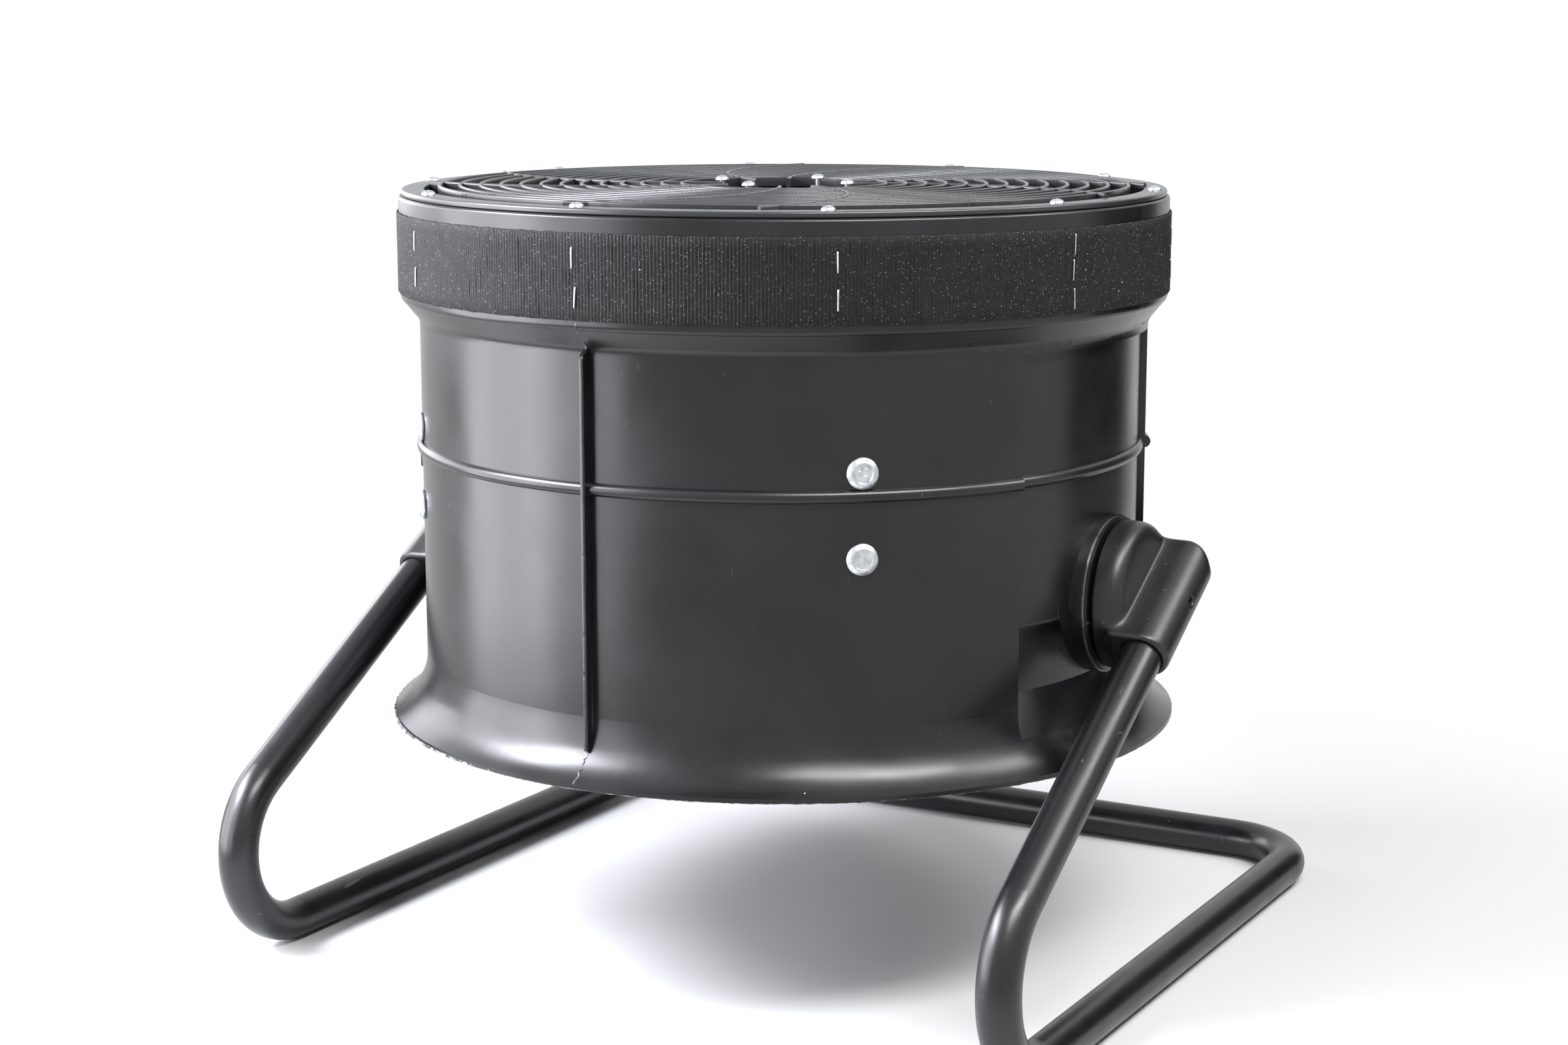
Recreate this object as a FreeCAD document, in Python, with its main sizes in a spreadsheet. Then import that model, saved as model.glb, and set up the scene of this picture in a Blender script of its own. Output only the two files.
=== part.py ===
import FreeCAD, Part
import Sketcher
import math
import os

# A tilting axial blower for inflatables. A moulded drum, open at both ends, holds a motor and a fan, and
# pivots between the two arms of a stand bent from one steel tube. Its rim carries a band of hook tape.
#
# Axes: +Z is up and the tilt axis lies along X. Y = 0 and Z = 0 are the middle of the footprint on the floor.
# Lengths are millimetres and angles are degrees.

SIZES = {
    # Tube stand
    "tube_diameter": 26.0,
    "tube_wall": 2.0,
    "bend_radius": 55.0,
    "leg_slope": 31.2,
    "arm_gap": 20.5,
    "arm_drop": 4.8,
    "rear_gap": 35.5,
    "pivot_height": 248.7,
    # Pivot brackets, one on each side of the drum
    "disc_diameter": 92.0,
    "disc_thickness": 18.0,
    "disc_rounding": 8.0,
    "socket_wall": 4.0,
    "socket_below": 46.0,
    "socket_above": 45.0,
    "socket_cap": 5.0,
    "socket_rounding": 11.0,
    "lock_screw_diameter": 6.0,
    "lock_screw_sink": 2.0,
    "pivot_bolt_diameter": 10.0,
    "pivot_head_diameter": 18.0,
    "pivot_head_height": 5.0,
    "pivot_nut_flats": 17.0,
    "pivot_nut_height": 8.0,
    "plate_diameter": 95.5,
    "plate_thickness": 3.0,
    "pad_diameter": 98.0,
    "pad_inset": 2.0,
    "pad_thickness": 17.0,
    "washer_diameter": 70.0,
    "washer_thickness": 2.0,
    # Drum, measured from its lower edge
    "pivot_rise": 94.0,
    "drum_height": 334.0,
    "body_radius": 234.0,
    "wall": 4.0,
    "flange_reach": 21.0,
    "flange_lip": 2.5,
    "flare_height": 38.0,
    "ring_height": 174.7,
    "ring_half_width": 4.0,
    "ring_swell": 3.5,
    "neck_gap": 20.5,
    "neck_rise": 6.0,
    "neck_spread": 2.5,
    "rim_step": 11.9,
    "rim_margin": 9.5,
    "rim_turn": 5.5,
    "rim_edge": 2.0,
    "shelf_width": 14.3,
    "panel_angle": 49.0,
    "panel_depth": 5.0,
    "ledge_depth": 6.0,
    "ledge_drop": 6.1,
    "recess_foot": 46.0,
    "recess_low": 21.0,
    "seam_thickness": 2.6,
    "seam_height": 6.5,
    "boss_diameter": 10.0,
    "boss_depth": 12.0,
    # Hook tape round the rim, with its staples
    "tape_width": 51.0,
    "tape_thickness": 1.55,
    "staple_length": 12.0,
    "staple_width": 1.0,
    "staple_height": 0.6,
    # Outlet guard
    "guard_plate": 4.0,
    "guard_margin": 1.9,
    "guard_plate_width": 14.5,
    "guard_step": 2.4,
    "guard_hub_radius": 52.8,
    "guard_hub_bore": 33.0,
    "slat_width": 2.3,
    "slat_depth": 7.0,
    "rib_depth": 8.0,
    "rib_width": 2.6,
    "rib_radius": 155.0,
    "rib_sweep": 30.0,
    "hub_rim_depth": 1.5,
    "hub_screw_circle": 46.0,
    "hub_screw_land": 10.0,
    "guard_screw_inset": 9.1,
    "screw_diameter": 3.6,
    "screw_head_diameter": 8.6,
    "screw_head_height": 2.8,
    "screw_length": 15.0,
    # Inlet guard in the bell mouth
    "inlet_height": 7.0,
    "inlet_depth": 4.0,
    "inlet_hub_radius": 40.0,
    "inlet_hub_bore": 20.0,
    "inlet_rim_width": 9.0,
    # Motor and its four struts
    "motor_radius": 62.0,
    "motor_wall": 4.0,
    "shell_bottom": 140.0,
    "bell_depth": 22.0,
    "bell_wall": 5.0,
    "upper_bell_depth": 31.0,
    "bearing_radius": 17.5,
    "bearing_width": 11.0,
    "shaft_diameter": 14.0,
    "shaft_bottom": 24.0,
    "core_margin": 25.0,
    "winding_height": 14.0,
    "strut_azimuth": 40.0,
    "strut_thickness": 3.0,
    "strut_height": 70.0,
    "strut_drop": 12.0,
    "strut_offset": 13.0,
    "strut_bolt_rise": 10.0,
    "strut_bolt_gap": 50.0,
    "strut_bolt_diameter": 8.0,
    "strut_head_diameter": 19.0,
    "strut_head_height": 3.6,
    "strut_nut_flats": 13.0,
    "strut_nut_height": 6.5,
    "capacitor_radius": 17.0,
    "capacitor_margin": 2.0,
    "capacitor_reach": 145.0,
    # Impeller
    "tip_gap": 22.0,
    "impeller_hub_radius": 50.0,
    "impeller_hub_bottom": 42.0,
    "impeller_hub_height": 44.0,
    "impeller_hub_wall": 5.0,
    "impeller_hub_rounding": 8.0,
    "blade_thickness": 3.0,
    "blade_root_chord": 56.0,
    "blade_tip_chord": 84.0,
    "blade_root_pitch": 42.0,
    "blade_tip_pitch": 24.0,
    "shaft_nut_flats": 22.0,
    "shaft_nut_height": 10.0,
    # Terminal box over the left pivot, with its gland
    "box_half_width": 58.0,
    "box_gap": 1.0,
    "box_height": 25.5,
    "box_reach": 13.0,
    "box_wall": 2.5,
    "lid_thickness": 3.0,
    "gland_flats": 19.0,
    "gland_length": 8.0,
    "gland_nut_radius": 9.0,
    "gland_nut_length": 13.0,
    "cord_bore": 7.0,
    # Clearances, and how far a cutting tool runs past the face that it cuts
    "slip": 0.05,
    "bolt_clearance": 0.2,
    "running_gap": 0.15,
    "fan_gap": 0.5,
    "overrun": 5.0,
}

SLAT_COUNT = 13
LAST_GAP = 0.76
RIB_COUNT = 12
RIB_AZIMUTH = -4.5
GUARD_SCREW_COUNT = 10
GUARD_SCREW_AZIMUTH = -19.0
HUB_SCREW_COUNT = 4
STRUT_COUNT = 4
BLADE_COUNT = 6
INLET_RINGS = 9
INLET_SPOKES = 6
STAPLE_COLUMNS = 10
STAPLE_AZIMUTH = -18.0

X_AXIS = FreeCAD.Vector(1, 0, 0)
Y_AXIS = FreeCAD.Vector(0, 1, 0)
Z_AXIS = FreeCAD.Vector(0, 0, 1)

doc = FreeCAD.newDocument("tilting_blower")
sheet = doc.addObject("Spreadsheet::Sheet", "sizes")
for row, (alias, number) in enumerate(SIZES.items(), start=1):
    sheet.set(f"A{row}", alias)
    sheet.set(f"B{row}", str(number))
    sheet.setAlias(f"B{row}", alias)
doc.recompute()


# ---------------------------------------------------------------- sizes and formulas

class Size:
    """A number together with the spreadsheet formula that gives it."""

    def __init__(self, value, formula):
        self.value = value
        self.formula = formula

    def __add__(self, other):
        return join(self, "+", other, self.value + as_size(other).value)

    def __radd__(self, other):
        return as_size(other) + self

    def __sub__(self, other):
        return join(self, "-", other, self.value - as_size(other).value)

    def __rsub__(self, other):
        return as_size(other) - self

    def __mul__(self, other):
        return join(self, "*", other, self.value * as_size(other).value)

    def __rmul__(self, other):
        return as_size(other) * self

    def __truediv__(self, other):
        return join(self, "/", other, self.value / as_size(other).value)

    def __neg__(self):
        return Size(-self.value, f"(0 - {self.formula})")


def as_size(item):
    """Turn a plain number into a Size, and leave a Size as it is."""
    if isinstance(item, Size):
        return item
    return Size(item, f"({item})")


def join(left, sign, right, value):
    return Size(value, f"({as_size(left).formula} {sign} {as_size(right).formula})")


def sine(angle):
    return Size(math.sin(math.radians(as_size(angle).value)), f"sin({as_size(angle).formula})")


def cosine(angle):
    return Size(math.cos(math.radians(as_size(angle).value)), f"cos({as_size(angle).formula})")


def tangent(angle):
    return Size(math.tan(math.radians(as_size(angle).value)), f"tan({as_size(angle).formula})")


def root(number):
    return Size(math.sqrt(number.value), f"sqrt({number.formula})")


def larger(first, second):
    return Size(max(first.value, second.value), f"max({first.formula}; {second.formula})")


class SizeSheet:
    """Reads the spreadsheet by alias, so that S.wall is the wall and its formula."""

    def __getattr__(self, alias):
        return Size(float(sheet.get(alias)), f"sizes.{alias}")


S = SizeSheet()


def bind(item, path, size):
    """Tie one property of a document object to the spreadsheet."""
    if isinstance(size, Size):
        item.setExpression(path, size.formula)


def spot(size):
    return as_size(size).value


# ---------------------------------------------------------------- frames of the assembly

tube_radius = S.tube_diameter / 2
stand_half_width = S.body_radius + S.arm_gap + tube_radius
flange_radius = S.body_radius + S.flange_reach
rear_reach = flange_radius + S.rear_gap
arm_height = S.pivot_height - S.arm_drop
corner_reach = (arm_height - tube_radius) / tangent(S.leg_slope)
front_bend_middle = corner_reach - S.bend_radius / tangent(S.leg_slope / 2)
front_extent = larger(front_bend_middle + S.bend_radius + tube_radius, flange_radius)
drum_y = (front_extent - rear_reach - tube_radius) / 2
drum_z = S.pivot_height - S.pivot_rise

FLOOR = (0, drum_y, 0)
PIVOT = (0, drum_y, S.pivot_height)
DRUM = (0, drum_y, drum_z)


def place(item, frame, turn=0, lift=0):
    """Put an object into one of the frames, turned about the frame's Z and lifted."""
    base = (frame[0], frame[1], as_size(frame[2]) + lift)
    item.Placement = FreeCAD.Placement(
        FreeCAD.Vector(*[spot(value) for value in base]), FreeCAD.Rotation(Z_AXIS, spot(turn)))
    for letter, value in zip("xyz", base):
        bind(item, f"Placement.Base.{letter}", value)
    bind(item, "Placement.Rotation.Angle", turn)
    return item


def name_for(label):
    return label.replace(" ", "_")


# ---------------------------------------------------------------- sketches and bodies

def new_body(label):
    body = doc.addObject("PartDesign::Body", name_for(label))
    body.Label = label
    return body


def new_sketch(body, label, plane, lift=0, turn=0):
    """A sketch on one of the body's own planes, lifted along its normal and turned in it."""
    sketch = body.newObject("Sketcher::SketchObject", f"{body.Name}_{label}")
    for datum in body.Origin.OriginFeatures:
        if datum.Role == plane:
            sketch.AttachmentSupport = [(datum, "")]
    sketch.MapMode = "FlatFace"
    sketch.AttachmentOffset = FreeCAD.Placement(
        FreeCAD.Vector(0, 0, spot(lift)), FreeCAD.Rotation(Z_AXIS, spot(turn)))
    bind(sketch, "AttachmentOffset.Base.z", lift)
    bind(sketch, "AttachmentOffset.Rotation.Angle", turn)
    return sketch


def fix_point(sketch, geometry, end, across, up):
    """Hold one point of a sketch at its two distances from the origin."""
    for kind, axis, size in (("DistanceX", -2, as_size(across)), ("DistanceY", -1, as_size(up))):
        if abs(size.value) < 1e-9:
            sketch.addConstraint(Sketcher.Constraint("PointOnObject", geometry, end, axis))
            continue
        if size.value > 0:
            rule = Sketcher.Constraint(kind, -1, 1, geometry, end, size.value)
            formula = size.formula
        else:
            rule = Sketcher.Constraint(kind, geometry, end, -1, 1, -size.value)
            formula = f"(0 - {size.formula})"
        sketch.setExpression(f"Constraints[{sketch.addConstraint(rule)}]", formula)


def arc_between(start, finish, radius):
    """The shorter arc between two points: counterclockwise for a positive radius."""
    chord = finish - start
    height = math.sqrt(max(radius * radius - chord.Length * chord.Length / 4, 0))
    side = FreeCAD.Vector(-chord.y, chord.x, 0).normalize()
    centre = (start + finish) / 2 + side * math.copysign(height, radius)
    first, last = (start, finish) if radius > 0 else (finish, start)
    angles = [math.atan2(point.y - centre.y, point.x - centre.x) for point in (first, last)]
    if angles[1] < angles[0]:
        angles[1] += 2 * math.pi
    return Part.ArcOfCircle(Part.Circle(centre, Z_AXIS, abs(radius)), *angles)


def draw_outline(sketch, corners):
    """Draw a closed outline. A corner is (across, up), or (across, up, radius) where an arc leads on."""
    points = [FreeCAD.Vector(spot(corner[0]), spot(corner[1]), 0) for corner in corners]
    ends = []
    for index, corner in enumerate(corners):
        start = points[index]
        finish = points[(index + 1) % len(corners)]
        if len(corner) == 2:
            edge = sketch.addGeometry(Part.LineSegment(start, finish), False)
            ends.append((edge, 1, 2))
            continue
        edge = sketch.addGeometry(arc_between(start, finish, spot(corner[2])), False)
        ends.append((edge, 1, 2) if spot(corner[2]) > 0 else (edge, 2, 1))
    for index, (edge, start, finish) in enumerate(ends):
        before = ends[index - 1]
        sketch.addConstraint(Sketcher.Constraint("Coincident", before[0], before[2], edge, start))
        fix_point(sketch, edge, start, corners[index][0], corners[index][1])
    for (edge, start, finish), corner in zip(ends, corners):
        if len(corner) == 3:
            radius = as_size(corner[2])
            rule = sketch.addConstraint(Sketcher.Constraint("Radius", edge, abs(radius.value)))
            formula = radius.formula if radius.value > 0 else f"(0 - {radius.formula})"
            sketch.setExpression(f"Constraints[{rule}]", formula)


def draw_circle(sketch, radius, across=0, up=0):
    centre = FreeCAD.Vector(spot(across), spot(up), 0)
    edge = sketch.addGeometry(Part.Circle(centre, Z_AXIS, spot(radius)), False)
    fix_point(sketch, edge, 3, across, up)
    rule = sketch.addConstraint(Sketcher.Constraint("Radius", edge, spot(radius)))
    bind(sketch, f"Constraints[{rule}]", as_size(radius))


def revolve(body, label, corners, angle=360, along="z", groove=False):
    """Turn an outline about the body's Z or X axis, evenly to both sides of the sketch."""
    sketch = new_sketch(body, label, "XZ_Plane")
    draw_outline(sketch, corners)
    kind = "PartDesign::Groove" if groove else "PartDesign::Revolution"
    feature = body.newObject(kind, f"{body.Name}_{label}_turned")
    feature.Profile = sketch
    feature.ReferenceAxis = (sketch, ["V_Axis" if along == "z" else "H_Axis"])
    feature.Angle = spot(angle)
    feature.Midplane = spot(angle) < 360
    bind(feature, "Angle", angle)
    sketch.Visibility = False
    return feature


def extrude(body, label, sketch, length, pocket=False, middle=False, back=False):
    """Pad or pocket a sketch."""
    kind = "PartDesign::Pocket" if pocket else "PartDesign::Pad"
    feature = body.newObject(kind, f"{body.Name}_{label}_{'cut' if pocket else 'pad'}")
    feature.Profile = sketch
    feature.Length = spot(length)
    feature.Midplane = middle
    feature.Reversed = back
    bind(feature, "Length", length)
    sketch.Visibility = False
    return feature


def ring_of(body, label, features, count):
    """Repeat features round the body's Z axis."""
    doc.recompute()
    pattern = body.newObject("PartDesign::PolarPattern", f"{body.Name}_{label}")
    pattern.Originals = features
    for datum in body.Origin.OriginFeatures:
        if datum.Role == "Z_Axis":
            pattern.Axis = (datum, [""])
    pattern.Angle = 360
    pattern.Occurrences = count
    body.Tip = pattern
    return pattern


def turned(label, corners, along="z"):
    """A piece made by turning one outline about Z or X."""
    body = new_body(label)
    body.Tip = revolve(body, "outline", corners, along=along)
    return body


def ring_corners(inner, outer, low, high):
    return [(inner, low), (outer, low), (outer, high), (inner, high)]


# ---------------------------------------------------------------- primitives and booleans

TURN_TO = {
    "z": FreeCAD.Rotation(),
    "x": FreeCAD.Rotation(Y_AXIS, 90),
    "y": FreeCAD.Rotation(X_AXIS, -90),
}


def set_base(item, base, along):
    item.Placement = FreeCAD.Placement(FreeCAD.Vector(*[spot(value) for value in base]), TURN_TO[along])
    for letter, value in zip("xyz", base):
        bind(item, f"Placement.Base.{letter}", value)


def cylinder(label, radius, height, base=(0, 0, 0), along="z"):
    item = doc.addObject("Part::Cylinder", name_for(label))
    bind(item, "Radius", as_size(radius))
    bind(item, "Height", as_size(height))
    set_base(item, base, along)
    return item


def hexagon(label, flats, height, base=(0, 0, 0), along="z"):
    item = doc.addObject("Part::Prism", name_for(label))
    item.Polygon = 6
    bind(item, "Circumradius", flats / 2 / cosine(30))
    bind(item, "Height", as_size(height))
    set_base(item, base, along)
    return item


def block(label, low, high):
    """A box between two corners."""
    item = doc.addObject("Part::Box", name_for(label))
    for side, first, last in zip(("Length", "Width", "Height"), low, high):
        bind(item, side, as_size(last) - first)
    set_base(item, low, "z")
    return item


def sector(label, inner, outer, low, height, half_angle):
    """A stretch of a round wall, centred on +X."""
    solid = cylinder(f"{label} sector", outer, height, (0, 0, low))
    bind(solid, "Angle", 2 * as_size(half_angle))
    solid.Placement.Rotation = FreeCAD.Rotation(Z_AXIS, -spot(half_angle))
    bind(solid, "Placement.Rotation.Angle", -as_size(half_angle))
    core = cylinder(f"{label} core", inner, height + 2, (0, 0, low - 1))
    return cut(label, solid, core)


def fuse(label, pieces):
    item = doc.addObject("Part::MultiFuse", name_for(label))
    item.Label = label
    item.Shapes = pieces
    item.Refine = True
    return item


def cut(label, base, tool):
    item = doc.addObject("Part::Cut", name_for(label))
    item.Label = label
    item.Base = base
    item.Tool = tool
    return item


def mirrored(label, source):
    """The same piece on the other side of the drum."""
    item = doc.addObject("Part::Mirroring", name_for(label))
    item.Label = label
    item.Source = source
    item.Normal = X_AXIS
    return item


def compound(label, pieces):
    item = doc.addObject("Part::Compound", name_for(label))
    item.Label = label
    item.Links = pieces
    return item


NODES = []


def keep(*items):
    """List finished pieces, each of which becomes one file."""
    NODES.extend(items)


def keep_pair(label, piece, frame):
    """Keep a right-hand piece and its mirror image on the left."""
    piece.Label = f"{label}_right"
    keep(place(piece, frame), mirrored(f"{label}_left", piece))


# ---------------------------------------------------------------- tube stand

def bent_path(points, radius):
    """Straight runs joined by tangent arcs of one radius."""
    edges = []
    start = points[0]
    for before, corner, after in zip(points, points[1:], points[2:]):
        back = (before - corner).normalize()
        on = (after - corner).normalize()
        half_turn = (math.pi - back.getAngle(on)) / 2
        reach = radius * math.tan(half_turn)
        middle = (back + on).normalize() * (radius / math.cos(half_turn) - radius)
        arc = Part.Arc(corner + back * reach, corner + middle, corner + on * reach)
        edges.append(Part.LineSegment(start, corner + back * reach).toShape())
        edges.append(arc.toShape())
        start = corner + on * reach
    edges.append(Part.LineSegment(start, points[-1]).toShape())
    return Part.Wire(edges)


def make_stand_tube():
    """One tube: up each slanted arm, along the floor and across the back."""
    side = stand_half_width.value
    slope = math.radians(S.leg_slope.value)
    climb = S.socket_above.value - S.socket_cap.value
    floor = tube_radius.value
    tip_y = climb * math.cos(slope)
    tip_z = arm_height.value + climb * math.sin(slope)
    points = [
        FreeCAD.Vector(side, tip_y, tip_z),
        FreeCAD.Vector(side, -corner_reach.value, floor),
        FreeCAD.Vector(side, rear_reach.value, floor),
        FreeCAD.Vector(-side, rear_reach.value, floor),
        FreeCAD.Vector(-side, -corner_reach.value, floor),
        FreeCAD.Vector(-side, tip_y, tip_z),
    ]
    path = bent_path(points, S.bend_radius.value)
    start = points[1] - points[0]
    skins = []
    for radius in (tube_radius.value, tube_radius.value - S.tube_wall.value):
        circle = Part.Wire(Part.makeCircle(radius, points[0], start))
        skins.append(path.makePipeShell([circle], True, False))
    tube = doc.addObject("Part::Feature", "stand_tube")
    tube.Shape = skins[0].cut(skins[1])
    return place(tube, FLOOR)


def arm_cylinder(label, radius, low, high):
    """A cylinder round the arm's axis, from low to high along it, with zero under the pivot."""
    base = (stand_half_width, low * cosine(S.leg_slope), low * sine(S.leg_slope) - S.arm_drop)
    item = cylinder(label, radius, high - low, base)
    item.Placement.Rotation = FreeCAD.Rotation(X_AXIS, S.leg_slope.value - 90)
    bind(item, "Placement.Rotation.Angle", S.leg_slope - 90)
    return item


pad_face = S.body_radius - S.pad_inset
pad_start = pad_face - S.pad_thickness
disc_start = pad_face + S.plate_thickness + S.washer_thickness
disc_face = disc_start + S.disc_thickness
socket_radius = tube_radius + S.socket_wall
socket_face = stand_half_width + socket_radius
head_seat = stand_half_width - tube_radius - S.running_gap - S.pivot_head_height
bore_radius = S.pivot_bolt_diameter / 2 + S.slip


def make_socket():
    """The slanted socket: round outside, flat towards the drum, with one rounded corner at its upper end."""
    body = new_body("bracket socket")
    profile = new_sketch(body, "section", "XZ_Plane", lift=-S.socket_above)
    flat = disc_face - S.disc_rounding
    draw_outline(profile, [
        (flat, -socket_radius), (stand_half_width, -socket_radius, socket_radius), (socket_face, 0, socket_radius),
        (stand_half_width, socket_radius), (flat, socket_radius)])
    extrude(body, "section", profile, S.socket_below + S.socket_above)
    corner = new_sketch(body, "corner", "XY_Plane")
    outer = socket_face + 1
    top = S.socket_above + 1
    arc_foot = S.socket_above - S.socket_rounding
    arc_head = socket_face - S.socket_rounding
    draw_outline(corner, [
        (socket_face, arc_foot), (outer, arc_foot), (outer, top), (arc_head, top),
        (arc_head, S.socket_above, -S.socket_rounding)])
    extrude(body, "corner", corner, 2 * socket_radius + 2, pocket=True, middle=True)
    body.Placement = FreeCAD.Placement(
        FreeCAD.Vector(0, 0, -spot(S.arm_drop)), FreeCAD.Rotation(X_AXIS, spot(S.leg_slope)))
    bind(body, "Placement.Base.z", -S.arm_drop)
    bind(body, "Placement.Rotation.Angle", S.leg_slope)
    return body


def make_pivot_bracket():
    """Round-edged disc and slanted socket in one piece, bored for the tube, the bolt and the lock screw."""
    edge = S.disc_diameter / 2
    disc = turned("bracket disc", [
        (disc_start, 0), (disc_face, 0), (disc_face, edge - S.disc_rounding, S.disc_rounding),
        (disc_face - S.disc_rounding, edge), (disc_start, edge)], along="x")
    body = fuse("bracket body", [disc, make_socket()])
    tube_end = S.socket_above - S.socket_cap
    tools = [
        arm_cylinder("tube bore", tube_radius + S.slip, -S.socket_below - S.overrun, tube_end + S.slip),
        cylinder("bolt bore", bore_radius, S.disc_thickness + S.overrun, (disc_start - 1, 0, 0), "x"),
        cylinder("head sink", S.pivot_head_diameter / 2 + S.slip, S.tube_diameter, (head_seat, 0, 0), "x"),
        cylinder("lock screw bore", S.lock_screw_diameter / 2 + S.slip, socket_radius + 1,
                 (stand_half_width, 0, 0), "x"),
    ]
    return cut("pivot_bracket_right", body, fuse("bracket bores", tools))


def make_pivot_bolt():
    """Bolt whose head lies under the tube, with its shank through the pad to the nut inside the drum."""
    shank = S.pivot_bolt_diameter / 2
    head = S.pivot_head_diameter / 2
    start = pad_start + S.bolt_clearance
    return turned("pivot_bolt_right", [
        (start, 0), (head_seat + S.pivot_head_height, 0), (head_seat + S.pivot_head_height, head),
        (head_seat, head), (head_seat, shank), (start, shank)], along="x")


def make_lock_screw():
    """Set screw that holds the tube in its socket, sunk under the socket's face."""
    inner = stand_half_width + tube_radius
    length = socket_face - S.lock_screw_sink - inner
    screw = cylinder("lock screw", S.lock_screw_diameter / 2, length, (inner, 0, 0), "x")
    return compound("tube_lock_screw_right", [screw])


def make_friction_washer():
    start = pad_face + S.plate_thickness + S.running_gap
    body = cylinder("washer body", S.washer_diameter / 2, disc_start - start, (start, 0, 0), "x")
    hole = cylinder("washer hole", bore_radius, disc_start, (1, 0, 0), "x")
    return cut("friction_washer_right", body, hole)


def build_stand():
    keep(make_stand_tube())
    keep_pair("pivot_bracket", make_pivot_bracket(), PIVOT)
    keep_pair("pivot_bolt", make_pivot_bolt(), PIVOT)
    keep_pair("tube_lock_screw", make_lock_screw(), PIVOT)
    keep_pair("friction_washer", make_friction_washer(), PIVOT)


# ---------------------------------------------------------------- drum housing

flare_rise = S.flare_height - S.flange_lip
flare_radius = (S.flange_reach * S.flange_reach + flare_rise * flare_rise) / (2 * S.flange_reach)
flare_centre = S.body_radius + flare_radius
inner_radius = S.body_radius - S.wall
panel_radius = S.body_radius - S.panel_depth
low_panel_radius = panel_radius - S.ledge_depth
ledge_height = S.pivot_rise - S.ledge_drop
shelf_bottom = S.drum_height - S.wall
rim_radius = S.body_radius + S.rim_step
rim_bottom = S.drum_height - S.rim_margin - S.tape_width
neck_height = rim_bottom - S.neck_gap
shelf_radius = rim_radius - S.shelf_width
guard_radius = rim_radius - S.guard_margin
guard_inner_radius = guard_radius - S.guard_plate_width
guard_screw_circle = rim_radius - S.guard_screw_inset
strut_bottom = S.shell_bottom - S.strut_drop
strut_bolt_low = strut_bottom + S.strut_bolt_rise
box_face = S.body_radius + S.box_reach
box_bottom = S.pivot_rise + S.pad_diameter / 2 + S.box_gap
lead_height = box_bottom + S.box_height / 2
ring_curve = (S.ring_half_width * S.ring_half_width + S.ring_swell * S.ring_swell) / (2 * S.ring_swell)


def flare_inside(height):
    """Inner radius of the bell mouth at a height."""
    curve = flare_radius + S.wall
    drop = S.flare_height - height
    return flare_centre - root(curve * curve - drop * drop)


def ring_bulge(radius):
    """The two lower points of the half-round ring on a wall of this radius."""
    low = S.ring_height - S.ring_half_width
    return [(radius, low, ring_curve), (radius, low + 2 * S.ring_half_width)]


def housing_corners():
    neck_outer = S.body_radius + S.neck_spread
    neck_top = neck_height + S.neck_rise
    rim_foot = rim_bottom - S.rim_turn
    neck_curve = (S.neck_spread * S.neck_spread + S.neck_rise * S.neck_rise) / (2 * S.neck_spread)
    rim_inner = rim_radius - S.wall
    return [
        (flare_inside(0), 0),
        (flange_radius, 0),
        (flange_radius, S.flange_lip, -flare_radius),
        (S.body_radius, S.flare_height),
        *ring_bulge(S.body_radius),
        (S.body_radius, neck_height, -neck_curve),
        (neck_outer, neck_top),
        (rim_radius - S.rim_edge, rim_foot, S.rim_turn),
        (rim_radius, rim_bottom - 1),
        (rim_radius, S.drum_height - S.rim_edge, S.rim_edge),
        (rim_radius - S.rim_edge, S.drum_height),
        (shelf_radius, S.drum_height),
        (shelf_radius, shelf_bottom),
        (rim_inner, shelf_bottom),
        (rim_inner, rim_bottom),
        (inner_radius, neck_top),
        (inner_radius, S.flare_height, flare_radius + S.wall),
    ]


def add_pivot_panel(body):
    """The sunken panel and the round pad under each pivot bracket."""
    into_wall = S.wall * 0.4
    low_foot = S.recess_foot - 1.5
    wall_angle = S.panel_angle + 2.4
    backing = revolve(body, "panel_backing", [
        (low_panel_radius - S.wall, low_foot),
        (flare_inside(S.recess_low - 1) - 0.2, S.recess_low - 1),
        (flare_inside(S.recess_low - 1) + into_wall, S.recess_low - 1),
        (inner_radius + into_wall, low_foot),
        (inner_radius + into_wall, neck_height),
        (panel_radius - S.wall, neck_height),
        (panel_radius - S.wall, ledge_height + S.wall),
        (low_panel_radius - S.wall, ledge_height + S.wall)], angle=wall_angle)
    outside = flange_radius + 10
    recess = revolve(body, "panel_recess", [
        (low_panel_radius, S.recess_foot),
        (flare_inside(S.recess_low) + S.wall, S.recess_low),
        (outside, S.recess_low),
        (outside, neck_height - 2),
        (panel_radius, neck_height - 2),
        (panel_radius, ledge_height),
        (low_panel_radius, ledge_height)], angle=S.panel_angle, groove=True)
    ring = revolve(body, "panel_ring", [
        (panel_radius - 1, S.ring_height - S.ring_half_width),
        *ring_bulge(panel_radius),
        (panel_radius - 1, S.ring_height + S.ring_half_width)], angle=S.panel_angle)
    circle = new_sketch(body, "pad", "YZ_Plane", lift=pad_start)
    draw_circle(circle, S.pad_diameter / 2, 0, S.pivot_rise)
    pad = extrude(body, "pad", circle, pad_face - pad_start)
    ring_of(body, "both_sides", [backing, recess, ring, pad], 2)


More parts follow.
